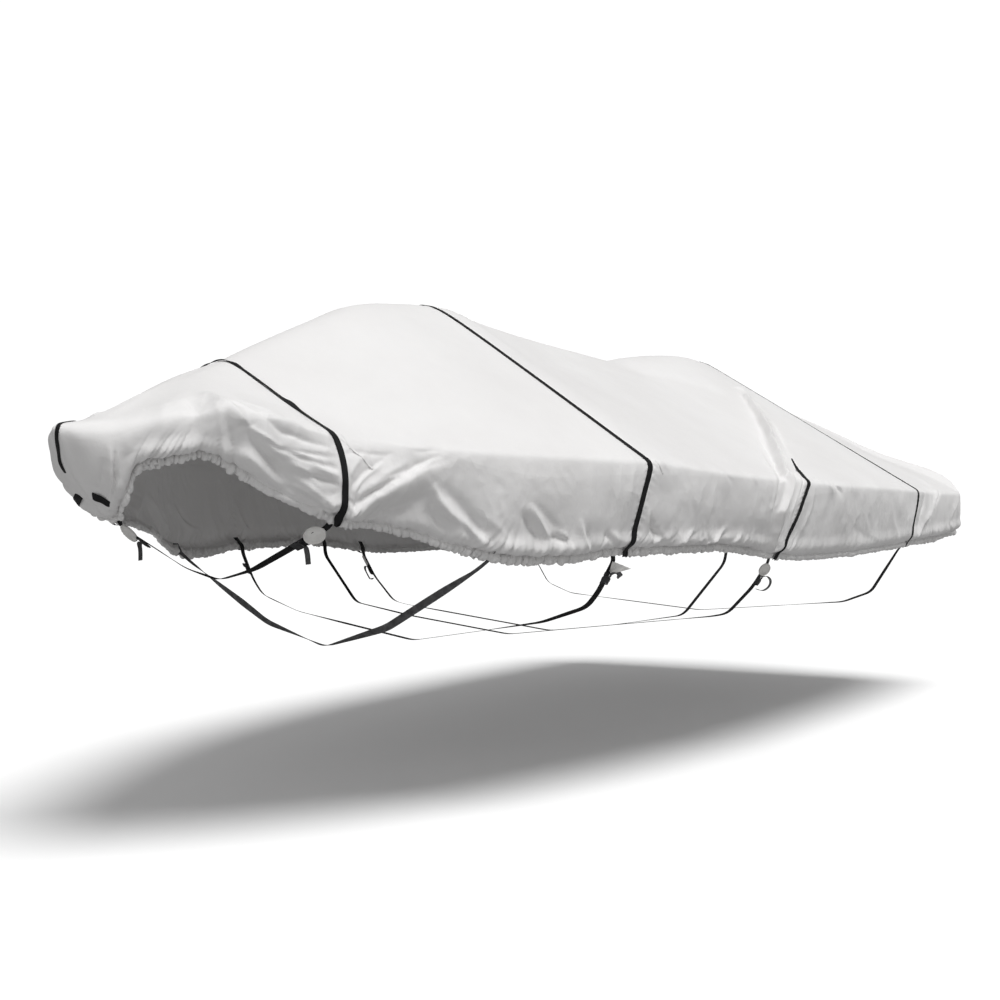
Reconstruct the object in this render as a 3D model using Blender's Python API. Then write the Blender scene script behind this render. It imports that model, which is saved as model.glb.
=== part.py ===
"""Fitted boat cover, 5.8 m long, drawn down at its hem by black webbing straps.

Frame: metres, +Z up, +X aft, +Y to starboard.  The origin is on the underside of the
cloth, on the centreline, at the crest of the front hump, where it is held up from inside.
"""
import bmesh
import bpy
import numpy as np

# ---------------------------------------------------------------- driving dimensions
CLOTH = 0.002            # cover cloth
WEBBING = 0.002          # strap thickness
STRAP_WIDTH = 0.027
GAP = 0.0006             # between a strap and the cloth that it lies on
CREST_S = 1.80           # distance of the origin aft of the bow tip

# The cover is drawn over sections.  s is the distance aft of the bow tip, b the half-beam,
# h the height over the gunwale's level.  A row gives the edge between top and skirt, the hem
# below it and where the section meets the ridge.  The skirt swells outward by belly_out at the
# share belly_up of its height, blunt is the rounding of the ridge as a share of the half
# section, and steps the number of mesh columns up to the next row.
SECTION_COLUMNS = ("edge_s", "edge_b", "edge_h", "hem_s", "hem_b", "hem_h", "ridge_s",
                   "belly_out", "belly_up", "blunt", "steps")
SECTIONS = (
    (0.045, 0.000, 0.100, 0.225, 0.000, -0.148, 0.420, 0.120, 0.10, 0.04, 3),   # stem
    (0.050, 0.050, 0.102, 0.215, 0.050, -0.140, 0.435, 0.090, 0.15, 0.04, 3),
    (0.095, 0.105, 0.110, 0.200, 0.090, -0.105, 0.465, 0.050, 0.25, 0.05, 3),   # cheek
    (0.165, 0.175, 0.135, 0.205, 0.138, -0.012, 0.520, 0.040, 0.35, 0.06, 3),
    (0.258, 0.262, 0.165, 0.262, 0.190, 0.014, 0.575, 0.050, 0.40, 0.08, 3),    # shoulder
    (0.355, 0.335, 0.177, 0.345, 0.245, 0.032, 0.620, 0.070, 0.40, 0.10, 3),    # hem arch
    (0.500, 0.415, 0.145, 0.480, 0.330, -0.048, 0.670, 0.080, 0.40, 0.13, 3),
    (0.700, 0.455, 0.118, 0.700, 0.455, -0.155, 0.730, 0.105, 0.45, 0.15, 5),   # front strap
    (0.930, 0.610, 0.080, 0.930, 0.540, -0.203, 0.930, 0.080, 0.40, 0.14, 8),
    (1.400, 0.825, 0.061, 1.400, 0.740, -0.288, 1.400, 0.065, 0.40, 0.12, 7),
    (1.860, 0.965, 0.054, 1.850, 0.880, -0.272, 1.860, 0.055, 0.40, 0.08, 7),   # mid strap
    (2.400, 1.070, 0.022, 2.400, 0.980, -0.270, 2.400, 0.055, 0.40, 0.08, 8),
    (3.030, 1.142, 0.005, 2.880, 1.035, -0.305, 3.050, 0.060, 0.40, 0.08, 5),   # aft strap
    (3.420, 1.165, -0.003, 3.380, 1.065, -0.308, 3.430, 0.060, 0.40, 0.10, 4),
    (3.900, 1.182, -0.006, 3.880, 1.085, -0.298, 3.900, 0.060, 0.40, 0.10, 5),
    (4.600, 1.195, -0.015, 4.600, 1.110, -0.273, 4.600, 0.055, 0.40, 0.03, 5),  # stern strap
    (5.200, 1.190, -0.022, 5.220, 1.120, -0.258, 5.150, 0.050, 0.40, 0.12, 4),
    (5.620, 1.165, -0.020, 5.660, 1.120, -0.250, 5.400, 0.030, 0.40, 0.15, 2),  # quarter
    (5.705, 1.080, 0.065, 5.750, 1.040, -0.256, 5.440, 0.020, 0.40, 0.15, 3),
    (5.750, 0.600, 0.275, 5.790, 0.600, -0.262, 5.470, 0.020, 0.40, 0.15, 3),
    (5.760, 0.000, 0.535, 5.800, 0.000, -0.262, 5.500, 0.020, 0.40, 0.15, 0),   # stern centre
)
# The ridge over the centreline: a hump over the console, a saddle, and a longer hump aft.
RIDGE = (   # s, h
    (0.42, 0.252), (0.72, 0.363), (0.90, 0.436), (1.17, 0.538), (1.41, 0.622), (1.60, 0.652),
    (1.97, 0.680), (2.10, 0.660), (2.57, 0.628), (3.06, 0.610), (3.40, 0.600), (3.60, 0.630),
    (4.00, 0.680), (4.35, 0.704), (4.60, 0.700), (4.85, 0.662), (5.19, 0.605), (5.50, 0.560),
)
SKIRT_ROWS = (0.0, 0.10, 0.28, 0.50, 0.75, 1.0)               # share of the way, hem to edge
TOP_ROWS = (0.05, 0.14, 0.27, 0.42, 0.58, 0.74, 0.88, 1.0)    # share of the way, edge to ridge

# Folds of the cloth.  a runs aft round the edge from the stem, w down (-) or up (+) the cloth
# from the edge, both in metres.  A fold runs from its first point to its second; depth is
# positive for a ridge and negative for a valley.
FOLD_COLUMNS = ("a0", "w0", "a1", "w1", "width", "depth")
PORT_FOLDS = (
    (0.13, -0.02, 0.08, -0.20, 0.030, 0.012),     # crease down the bow's cheek
    (0.43, -0.01, 0.63, -0.22, 0.042, -0.032),    # deep valley forward of the front strap
    (0.42, 0.04, 0.83, -0.13, 0.035, 0.018),      # ridge over it
    (0.52, -0.06, 0.79, -0.26, 0.032, 0.018),
    (1.15, -0.02, 0.89, -0.24, 0.045, -0.024),    # pulled aft of the front strap
    (1.15, -0.08, 0.87, -0.29, 0.035, 0.028),
    (1.16, -0.14, 1.00, -0.26, 0.050, -0.026),
    (1.19, -0.14, 1.45, -0.27, 0.045, -0.018),
    (1.51, -0.20, 1.69, -0.27, 0.045, -0.022),
    (1.80, -0.02, 1.85, -0.27, 0.040, 0.009),     # beside the mid strap
    (1.93, -0.04, 1.95, -0.28, 0.040, -0.009),
    (2.17, -0.03, 2.25, -0.20, 0.040, -0.009),
    (2.19, -0.20, 2.31, -0.29, 0.040, -0.010),
    (2.49, -0.22, 2.39, -0.30, 0.040, 0.009),
    (2.76, -0.23, 2.63, -0.30, 0.040, 0.009),
    (2.24, 0.76, 3.68, 1.20, 0.080, -0.012),      # long trough under the ridge
    (4.66, 1.03, 3.21, 0.02, 0.060, 0.038),       # pleat from the aft hump to the aft strap
    (4.77, 0.98, 3.37, 0.04, 0.055, -0.028),
    (3.59, 0.40, 3.10, 0.01, 0.040, -0.014),
    (3.21, 0.02, 3.25, -0.33, 0.035, 0.014),
    (3.10, 0.01, 3.17, -0.33, 0.035, -0.012),
    (5.10, -0.04, 4.94, -0.22, 0.040, 0.012),     # aft of the stern strap
    (5.69, -0.02, 5.64, -0.24, 0.035, -0.012),    # stern corner
)
STARBOARD_FOLDS = (
    (0.12, 0.01, 0.46, 0.01, 0.100, -0.045),      # this shoulder has sunk
    (0.14, 0.14, 0.55, 0.24, 0.110, -0.032),
    (0.11, -0.02, 0.07, -0.18, 0.030, 0.010),
    (0.47, -0.02, 0.65, -0.20, 0.045, -0.020),
    (0.55, 0.02, 0.81, -0.16, 0.040, 0.016),
    (1.21, -0.04, 0.90, -0.25, 0.045, 0.018),
    (1.27, -0.12, 1.03, -0.27, 0.045, -0.018),
    (1.59, -0.18, 1.77, -0.27, 0.045, -0.015),
    (1.99, -0.03, 2.03, -0.26, 0.040, 0.010),
    (2.31, -0.04, 2.27, -0.26, 0.040, -0.010),
    (2.87, -0.20, 2.69, -0.29, 0.040, 0.010),
    (2.47, 0.80, 3.57, 1.16, 0.080, -0.010),
    (4.52, 0.98, 3.37, 0.02, 0.060, 0.024),
    (4.63, 0.92, 3.51, 0.04, 0.055, -0.018),
    (3.37, 0.02, 3.27, -0.32, 0.040, 0.012),
    (4.17, -0.03, 4.09, -0.28, 0.040, -0.010),
    (5.17, -0.05, 5.01, -0.23, 0.040, 0.010),
    (5.67, -0.02, 5.63, -0.24, 0.035, -0.010),
)

FOLD_START = 0.12        # share of its half wave at which a fold starts, so its ends stay soft
SEAM_FADE = 1 / 12       # distance from the stem and the stern's centre over which folds fade
RIDGE_FADE = 3.0         # folds fade over the last 1 / RIDGE_FADE of the rows up to the ridge
PLAN_REACH = 0.03        # distance each way over which the edge's direction is measured
CLOSE_COLUMNS = 0.02     # mesh columns nearer than this to a strap's edge are left out

AFT_STRAP_ROWS = 8       # mesh rows from the hem up to where the aft strap is tucked in
# Straps over the top, by their distance aft of the bow tip.
OVER_STRAPS = (("front", 0.70), ("mid", 1.86), ("aft", 3.03), ("stern", 4.60))
# Straps across underneath: distance aft at the edge above and at the hem, then (b, h) from the
# hem down to the centreline.
UNDER_STRAPS = (
    ("a", 0.70, 0.70, ((0.430, -0.165), (0.140, -0.300), (0.0, -0.335))),
    ("b", 1.25, 1.25, ((0.620, -0.310), (0.260, -0.515), (0.0, -0.590))),
    ("c", 1.80, 1.80, ((0.848, -0.290), (0.790, -0.400), (0.741, -0.459), (0.561, -0.519),
                 (0.318, -0.559), (0.0, -0.610))),
    ("d", 2.55, 2.52, ((0.975, -0.320), (0.800, -0.530), (0.500, -0.580), (0.0, -0.640))),
    ("e", 3.03, 2.88, ((1.020, -0.330), (0.955, -0.430), (0.844, -0.544), (0.777, -0.558),
                 (0.0, -0.650))),
    ("f", 4.60, 4.60, ((1.090, -0.310), (0.947, -0.534), (0.800, -0.590), (0.0, -0.660))),
)
# Two straps hold the bow's pocket.  One runs down the stem, by its w there; the other goes
# round under it, by (a, w) on the port cloth, mirrored to starboard.
BOW_STRAP = (0.075, 0.0, -0.112)
BOW_BELT = ((0.105, -0.214), (0.048, -0.190), (0.0, -0.172))
BOW_STRAP_WIDTH = 0.024
BOW_STRAP_LIFT = 0.0034  # more room than GAP, where these two cross the pocket's round cloth
BOW_BELT_LIFT = 0.0027
LEG_STEPS = 7            # steps of a strap's mesh between two points of such a path

# What is sewn or threaded on the straps near the hem.  strap names the strap underneath,
# down is measured along its second leg and across it aft, both to the piece's middle.
FITTING_COLUMNS = ("name", "form", "strap", "across", "down", "width", "length", "thick")
FITTINGS = (
    ("pouch_front", "pad", "a", 0.000, 0.052, 0.058, 0.080, 0.009),
    ("buckle_front", "buckle", "a", 0.000, 0.120, 0.038, 0.046, 0.009),
    ("flap_mid", "flap", "c", 0.034, 0.025, 0.080, 0.042, 0.002),
    ("buckle_mid", "buckle", "c", 0.000, 0.071, 0.038, 0.046, 0.009),
    ("pouch_aft", "pad", "e", 0.000, 0.030, 0.048, 0.056, 0.009),
    ("buckle_aft", "buckle", "e", 0.000, 0.084, 0.038, 0.046, 0.009),
)
TAILS = (   # name, fitting that it hangs from, length
    ("tail_front", "buckle_front", 0.060),
    ("tail_mid", "buckle_mid", 0.050),
    ("tail_aft", "buckle_aft", 0.040),
)
TAIL_WIDTH = 0.020
TAIL_ON_BUCKLE = (-0.30, -0.16)     # from and to, as shares of the buckle's length
TAIL_STAND_OFF = 0.006              # how far the tail swings out from the buckle
TAIL_TURN = 0.012                   # the drop over which it turns down
BUCKLE_PROFILE = (   # shares of the length and the thickness, as seen from the side
    (-0.5, 0.0), (-0.5, 0.7), (-0.36, 1.0), (-0.24, 1.0), (-0.16, 0.45), (0.10, 0.45),
    (0.18, 0.85), (0.30, 0.85), (0.38, 0.45), (0.5, 0.45), (0.5, 0.0))
FLAP_OUTLINE = ((-0.5, -0.5), (0.5, -0.38), (0.5, -0.26), (-0.16, 0.5), (-0.34, 0.5), (-0.5, 0.1))
PAD_RINGS = ((1.0, 0.0), (1.0, 0.55), (0.93, 0.75), (0.84, 0.45), (0.55, 0.80))   # radius, height
PAD_SIDES = 18

COLOURS = {   # linear base colour, roughness
    "cloth": ((0.70, 0.69, 0.68), 0.75),
    "webbing": ((0.012, 0.012, 0.013), 0.6),
    "grey_webbing": ((0.07, 0.07, 0.075), 0.7),
    "buckle": ((0.02, 0.02, 0.022), 0.4),
    "pale_cloth": ((0.75, 0.74, 0.72), 0.8),
}


# ---------------------------------------------------------------- helpers
def clear_scene():
    for thing in list(bpy.data.objects):
        bpy.data.objects.remove(thing, do_unlink=True)


def material_for(name, kind):
    colour, roughness = COLOURS[kind]
    material = bpy.data.materials.new(name)
    material.use_nodes = True
    shader = material.node_tree.nodes["Principled BSDF"]
    shader.inputs["Base Color"].default_value = (*colour, 1.0)
    shader.inputs["Roughness"].default_value = roughness
    return material


def add_object(name, kind, mesh):
    thing = bpy.data.objects.new(name, mesh)
    bpy.context.scene.collection.objects.link(thing)
    mesh.materials.append(material_for(name, kind))
    mesh.shade_smooth()
    return thing


def smooth(knots, values, at):
    """Monotone cubic through the table's values, so no bump appears between its rows."""
    knots, values, at = np.asarray(knots, float), np.asarray(values, float), np.asarray(at, float)
    step = np.diff(knots)
    rise = np.diff(values) / step
    slope = np.zeros(len(knots))
    for i in range(1, len(knots) - 1):
        if rise[i - 1] * rise[i] > 0:
            near, far = 2 * step[i] + step[i - 1], step[i] + 2 * step[i - 1]
            slope[i] = (near + far) / (near / rise[i - 1] + far / rise[i])
    slope[0], slope[-1] = rise[0], rise[-1]
    i = np.clip(np.searchsorted(knots, at) - 1, 0, len(step) - 1)
    t = (at - knots[i]) / step[i]
    return (values[i] * (1 + 2 * t) * (1 - t) ** 2 + step[i] * slope[i] * t * (1 - t) ** 2
            + values[i + 1] * t * t * (3 - 2 * t) + step[i] * slope[i + 1] * t * t * (t - 1))


# ---------------------------------------------------------------- the cover's surface
TABLE = dict(zip(SECTION_COLUMNS, np.array(SECTIONS).T))
PLAN_STEP = np.hypot(np.diff(TABLE["edge_s"]), np.diff(TABLE["edge_b"]))
EDGE_KNOTS = np.concatenate(([0.0], np.cumsum(PLAN_STEP)))    # a at each row of SECTIONS
RIDGE_S, RIDGE_H = np.array(RIDGE).T


def at_s(s):
    """The distance a round the edge at which the edge lies s aft of the bow tip."""
    a = np.linspace(0.0, EDGE_KNOTS[-1], 4000)
    return float(np.interp(s, smooth(EDGE_KNOTS, TABLE["edge_s"], a), a))


def outward(a):
    """Level direction out of the cover, square to the edge at a."""
    if a == 0.0:
        return np.array((-1.0, 0.0, 0.0))
    if a == EDGE_KNOTS[-1]:
        return np.array((1.0, 0.0, 0.0))
    near, far = max(a - PLAN_REACH, 0.0), min(a + PLAN_REACH, EDGE_KNOTS[-1])
    along = [float(smooth(EDGE_KNOTS, TABLE[name], far) - smooth(EDGE_KNOTS, TABLE[name], near))
             for name in ("edge_s", "edge_b")]
    return np.array((-along[1], along[0], 0.0)) / np.hypot(*along)


def column_places():
    """a for each mesh column, with a pair of columns at each strap's edges."""
    places = []
    for row in range(len(SECTIONS) - 1):
        share = np.arange(int(TABLE["steps"][row])) / TABLE["steps"][row]
        places += list(EDGE_KNOTS[row] + share * (EDGE_KNOTS[row + 1] - EDGE_KNOTS[row]))
    places.append(EDGE_KNOTS[-1])
    straps = sorted({s for _, s in OVER_STRAPS} | {s for _, s, _, _ in UNDER_STRAPS})
    edges = [at_s(s + side * STRAP_WIDTH / 2) for s in straps for side in (-1, 1)]
    kept = [a for a in places if min(abs(a - edge) for edge in edges) > CLOSE_COLUMNS
            and not any(edges[i] < a < edges[i + 1] for i in range(0, len(edges), 2))]
    return np.array(sorted(kept + edges))


def fold_height(a, w, folds):
    """Sum of the folds' soft troughs and ridges at one point of the cloth."""
    height = 0.0
    for row in folds:
        fold = dict(zip(FOLD_COLUMNS, row))
        along = np.array((fold["a1"] - fold["a0"], fold["w1"] - fold["w0"]))
        reach = np.array((a - fold["a0"], w - fold["w0"]))
        share = np.clip(reach @ along / (along @ along), 0.0, 1.0)
        distance = np.hypot(*(reach - share * along))
        ends = np.sin(np.pi * (FOLD_START + (1 - 2 * FOLD_START) * share))
        height += fold["depth"] * ends * np.exp(-(distance / fold["width"]) ** 2)
    return height


def section(a):
    """Points of one column from the hem up to the ridge, as (s, b, h) and w for each."""
    row = {name: float(smooth(EDGE_KNOTS, TABLE[name], a)) for name in SECTION_COLUMNS}
    hem = np.array((row["hem_s"], row["hem_b"], row["hem_h"]))
    edge = np.array((row["edge_s"], row["edge_b"], row["edge_h"]))
    ridge = np.array((row["ridge_s"], 0.0, float(smooth(RIDGE_S, RIDGE_H, row["ridge_s"]))))
    belly = hem + (edge - hem) * row["belly_up"] + outward(a) * row["belly_out"]
    skirt = [(1 - t) ** 2 * hem + 2 * t * (1 - t) * belly + t * t * edge for t in SKIRT_ROWS]
    top = []
    for t in TOP_ROWS:
        blunt = row["blunt"]
        whole = np.hypot(1.0, blunt) - blunt
        rise = 1.0 - (np.hypot(1.0 - t, blunt) - blunt) / whole
        point = edge + (ridge - edge) * t
        point[2] = edge[2] + (ridge[2] - edge[2]) * rise
        top.append(point)
    points = np.array(skirt + top)
    run = np.concatenate(([0.0], np.cumsum(np.linalg.norm(np.diff(points, axis=0), axis=1))))
    return points, run - run[len(SKIRT_ROWS) - 1]


def crest():
    """The origin: height of the cloth's underside on the ridge at the crest."""
    return float(smooth(RIDGE_S, RIDGE_H, CREST_S)) - CLOTH


def to_frame(points, side):
    """(s, b, h) to the part's own frame; side is -1 to port and +1 to starboard."""
    points = np.asarray(points, float)
    return points * (1.0, side, 1.0) - (CREST_S, 0.0, crest())


def cloth_grid(places, side, folds):
    """Outer face of the cloth on one side: columns by rows of points, folds included."""
    grid, runs = [], []
    for a in places:
        points, run = section(a)
        grid.append(to_frame(points, side))
        runs.append(run)
    grid = np.array(grid)
    along = np.gradient(grid, axis=0)
    up = np.gradient(grid, axis=1)
    normal = np.cross(along, up) * -side
    normal /= np.linalg.norm(normal, axis=2, keepdims=True)
    ridge_fade = np.clip(np.linspace(RIDGE_FADE, 0.0, grid.shape[1]), 0.0, 1.0)
    for i, a in enumerate(places):
        seam_fade = min(1.0, a / SEAM_FADE, (places[-1] - a) / SEAM_FADE)
        for j, w in enumerate(runs[i]):
            lift = fold_height(a, w, folds) * ridge_fade[j] * seam_fade
            grid[i, j] += normal[i, j] * lift
    return grid


# ---------------------------------------------------------------- building
def make_cover(port, starboard):
    """One sheet: both sides joined along stem, stern centre and ridge, then thickened."""
    columns, rows = port.shape[:2]
    mesh = bmesh.new()
    port_verts = [[mesh.verts.new(point) for point in column] for column in port]
    starboard_verts = []
    for i, column in enumerate(starboard):
        shared = i in (0, columns - 1)
        starboard_verts.append([port_verts[i][j] if shared or j == rows - 1 else mesh.verts.new(point)
                                for j, point in enumerate(column)])
    for verts, flip in ((port_verts, False), (starboard_verts, True)):
        for i in range(columns - 1):
            for j in range(rows - 1):
                ring = (verts[i][j], verts[i + 1][j], verts[i + 1][j + 1], verts[i][j + 1])
                halves = ((0, 1, 3), (1, 2, 3)) if i == 0 else ((0, 1, 2), (0, 2, 3))
                for half in halves:
                    corners = [ring[k] for k in half]
                    mesh.faces.new(corners[::-1] if flip else corners)
    data = bpy.data.meshes.new("cover")
    mesh.to_mesh(data)
    mesh.free()
    cover = add_object("cover", "cloth", data)
    thick = cover.modifiers.new("cloth", "SOLIDIFY")
    thick.thickness = CLOTH
    thick.offset = -1.0
    return cover


def surface_normals(grid, side):
    """Outward directions at the grid's points; on the joins with the other side, level across."""
    normal = np.cross(np.gradient(grid, axis=0), np.gradient(grid, axis=1)) * -side
    normal[0, :, 1] = normal[-1, :, 1] = normal[:, -1, 1] = 0.0
    normal[0, -1], normal[-1, -1] = normal[1, -1], normal[-2, -1]
    return normal / np.linalg.norm(normal, axis=2, keepdims=True)


def ribbon(name, kind, left, right, outside, turned=()):
    """A flat band between two edge paths, with its outer face WEBBING along outside.

    Its quads are split along the same diagonal as the cloth's.  That diagonal is the other one
    on the steps in turned, where the band runs the other way over the cloth's rows.
    """
    left, right, outside = (np.asarray(path, float) for path in (left, right, outside))
    if outside.ndim == 2:
        outside = np.stack((outside, outside))
    mesh = bmesh.new()
    rings = [[mesh.verts.new(point) for point in
              (left[i], right[i], right[i] + outside[1][i] * WEBBING, left[i] + outside[0][i] * WEBBING)]
             for i in range(len(left))]
    for i, (near, far) in enumerate(zip(rings, rings[1:])):
        for k in range(4):
            ring = (near[k], near[(k + 1) % 4], far[(k + 1) % 4], far[k])
            crossed = (k == 2) != (i in turned)
            halves = ((0, 1, 3), (1, 2, 3)) if crossed else ((0, 1, 2), (0, 2, 3))
            for half in halves:
                mesh.faces.new([ring[corner] for corner in half])
    mesh.faces.new(rings[0])
    mesh.faces.new(rings[-1])
    bmesh.ops.recalc_face_normals(mesh, faces=mesh.faces)
    data = bpy.data.meshes.new(name)
    mesh.to_mesh(data)
    mesh.free()
    return add_object(name, kind, data)


def strap_columns(places, s):
    """The two mesh columns that lie at the edges of the strap s aft of the bow tip."""
    return [int(np.argmin(abs(places - at_s(s + shift * STRAP_WIDTH / 2)))) for shift in (-1, 1)]


def make_over_strap(name, s, places, sides):
    """A strap over the top, from the port hem across the ridge to the starboard hem."""
    edges, outside = [], []
    for column in strap_columns(places, s):
        path = np.concatenate([sides[-1][0][column], sides[1][0][column][-2::-1]])
        facing = np.concatenate([sides[-1][1][column], sides[1][1][column][-2::-1]])
        edges.append(path + facing * GAP)
        outside.append(facing)
    return ribbon(name, "webbing", edges[0], edges[1], np.array(outside),
                  turned=range(len(path) // 2, len(path)))


def make_short_strap(name, s, places, side_grid, rows):
    """A strap on one side, from the hem to where it is tucked under the pleat."""
    grid, normals = side_grid
    columns = strap_columns(places, s)
    edges = [grid[column][:rows] + normals[column][:rows] * GAP for column in columns]
    outside = np.array([normals[column][:rows] for column in columns])
    return ribbon(name, "webbing", edges[0], edges[1], outside)


def under_route(edge_s, s, route, places, sides):
    """Edge paths and outward directions of a strap from inside one hem to the other."""
    edges, outside = [[], []], [[], []]
    for which, column in enumerate(strap_columns(places, edge_s)):
        shift = (which - 0.5) * STRAP_WIDTH
        line = [to_frame((s + shift, b, h), side) for side in (-1, 1) for b, h in route]
        line = line[:len(route)] + line[len(route):-1][::-1]
        for i, point in enumerate(line):
            ahead, behind = line[min(i + 1, len(line) - 1)], line[max(i - 1, 0)]
            run = ahead - behind
            outside[which].append(np.array((0.0, run[2], -run[1])) / np.hypot(run[1], run[2]))
            edges[which].append(point)
        for side, rows in ((-1, (0, 1)), (1, (0, 1))):
            grid, normals = sides[side]
            for row in rows:
                facing = normals[column][row]
                point = grid[column][row] - facing * (CLOTH + GAP + WEBBING)
                place = 0 if side < 0 else len(edges[which])
                edges[which].insert(place, point)
                outside[which].insert(place, facing)
    return np.array(edges), np.array(outside)


def along_cloth(path, side, places, sides):
    """Points of the faceted cloth, and its outward directions, along a path of (a, w)."""
    grid, normals = sides[side]
    path = np.array(path)
    marks = [path[0]]
    for start, leg in zip(path, np.diff(path, axis=0)):
        marks += [start + leg * (k + 1) / LEG_STEPS for k in range(LEG_STEPS)]
    points, facing = [], []
    for a, w in marks:
        i = int(np.clip(np.searchsorted(places, a) - 1, 0, len(places) - 2))
        across = (a - places[i]) / (places[i + 1] - places[i])
        runs = [section(places[k])[1] for k in (i, i + 1)]
        run = runs[0] * (1 - across) + runs[1] * across
        j = int(np.clip(np.searchsorted(run, w) - 1, 0, len(run) - 2))
        up = (w - run[j]) / (run[j + 1] - run[j])
        for source, out in ((grid, points), (normals, facing)):
            base, far = source[i][j], source[i + 1][j + 1]
            corner = source[i + 1][j] if across > up else source[i][j + 1]
            shares = (1 - max(across, up), abs(across - up), min(across, up))
            out.append(base * shares[0] + corner * shares[1] + far * shares[2])
    return np.array(points), np.array(facing)


def make_bow_strap(places, sides):
    """A band down the stem over the nose, with one edge on each side's cloth."""
    path = [(BOW_STRAP_WIDTH / 2, w) for w in BOW_STRAP]
    laid = [along_cloth(path, side, places, sides) for side in (-1, 1)]
    edges = [points + facing * BOW_STRAP_LIFT for points, facing in laid]
    return ribbon("bow_strap", "webbing", edges[0], edges[1], np.array([facing for _, facing in laid]))


def make_bow_belt(places, sides):
    """A band round under the bow's pocket, laid on the cloth from port to starboard."""
    edges, outside = [], []
    for shift in (-BOW_STRAP_WIDTH / 2, BOW_STRAP_WIDTH / 2):
        path = [(a, w + shift) for a, w in BOW_BELT]
        port, starboard = (along_cloth(path, side, places, sides) for side in (-1, 1))
        points, facing = (np.concatenate([port[k], starboard[k][-2::-1]]) for k in (0, 1))
        edges.append(points + facing * BOW_BELT_LIFT)
        outside.append(facing)
    return ribbon("bow_belt", "webbing", edges[0], edges[1], np.array(outside))


def solid(name, kind, rings, place):
    """A closed body lofted through rings of local points, with its first and last ring capped."""
    mesh = bmesh.new()
    loops = [[mesh.verts.new(place(point)) for point in ring] for ring in rings]
    for near, far in zip(loops, loops[1:]):
        for k in range(len(near)):
            mesh.faces.new((near[k], near[(k + 1) % len(near)], far[(k + 1) % len(near)], far[k]))
    mesh.faces.new(loops[0][::-1])
    mesh.faces.new(loops[-1])
    bmesh.ops.triangulate(mesh, faces=[face for face in mesh.faces if len(face.verts) > 4])
    bmesh.ops.recalc_face_normals(mesh, faces=mesh.faces)
    if mesh.calc_volume(signed=True) < 0.0:
        bmesh.ops.reverse_faces(mesh, faces=mesh.faces)
    data = bpy.data.meshes.new(name)
    mesh.to_mesh(data)
    mesh.free()
    return add_object(name, kind, data)


def fitting_rings(form, width, length, thick):
    """Local rings of a fitting, as (across, down, out)."""
    if form == "buckle":
        return [[(across, down * length, out * thick) for down, out in BUCKLE_PROFILE]
                for across in (-width / 2, width / 2)]
    if form == "flap":
        return [[(across * width, down * length, out) for across, down in FLAP_OUTLINE]
                for out in (0.0, thick)]
    turns = np.linspace(0.0, 2 * np.pi, PAD_SIDES, endpoint=False)
    return [[(0.5 * width * radius * np.cos(turn), 0.5 * length * radius * np.sin(turn), out * thick)
             for turn in turns] for radius, out in PAD_RINGS]


def strap_seat(edges, side, across, down):
    """Where a fitting sits on a strap: a function from its local (across, down, out) points."""
    first, second = (2, 3) if side < 0 else (-3, -4)
    start, end = edges[:, first].mean(axis=0), edges[:, second].mean(axis=0)
    along = (end - start) / np.linalg.norm(end - start)
    aft = np.array((1.0, 0.0, 0.0))
    out = np.cross(aft, along)
    out *= np.sign(out[1] * side)
    middle = start + aft * across + along * down + out * (WEBBING + GAP)
    return lambda point: middle + aft * point[0] + along * point[1] + out * point[2]


def make_tail(name, side, place, span, thick, length):
    """The strap's free end: it lies on the buckle's bar and hangs down from there."""
    top, low = (place((0.0, share * span, thick + GAP)) for share in TAIL_ON_BUCKLE)
    out = place((0.0, 0.0, 1.0)) - place((0.0, 0.0, 0.0))
    down = np.array((0.0, 0.0, -1.0))
    turn = low + out * TAIL_STAND_OFF + down * TAIL_TURN
    path = np.array((top, low, turn, low + out * TAIL_STAND_OFF + down * length))
    half = np.array((TAIL_WIDTH / 2, 0.0, 0.0))
    level = np.array((0.0, float(side), 0.0))
    ribbon(name, "grey_webbing", path - half, path + half, np.array((out, out, level, level)))


def make_fittings(routes):
    """Pads, flaps, buckles and webbing tails near the hem, on both sides."""
    for side, word in ((-1, "port"), (1, "starboard")):
        seats = {}
        for row in FITTINGS:
            item = dict(zip(FITTING_COLUMNS, row))
            size = (item["width"], item["length"], item["thick"])
            place = strap_seat(routes[item["strap"]], side, item["across"], item["down"])
            kind = "buckle" if item["form"] == "buckle" else "pale_cloth"
            solid(f"{item['name']}_{word}", kind, fitting_rings(item["form"], *size), place)
            seats[item["name"]] = (place, item["length"], item["thick"])
        for name, holder, length in TAILS:
            make_tail(f"{name}_{word}", side, *seats[holder], length)


def build():
    clear_scene()
    places = column_places()
    port = cloth_grid(places, -1, PORT_FOLDS)
    starboard = cloth_grid(places, 1, STARBOARD_FOLDS)
    sides = {-1: (port, surface_normals(port, -1)), 1: (starboard, surface_normals(starboard, 1))}
    make_cover(port, starboard)
    for name, s in OVER_STRAPS:
        if name == "aft":
            make_short_strap("strap_aft_port", s, places, sides[-1], AFT_STRAP_ROWS)
            make_short_strap("strap_aft_starboard", s, places, sides[1], AFT_STRAP_ROWS)
        else:
            make_over_strap(f"strap_{name}", s, places, sides)
    make_bow_strap(places, sides)
    make_bow_belt(places, sides)
    routes = {}
    for name, edge_s, hem_s, route in UNDER_STRAPS:
        edges, outside = under_route(edge_s, hem_s, route, places, sides)
        routes[name] = edges
        ribbon(f"under_strap_{name}", "webbing", edges[0], edges[1], outside, turned=(0,))
    make_fittings(routes)


build()
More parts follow.
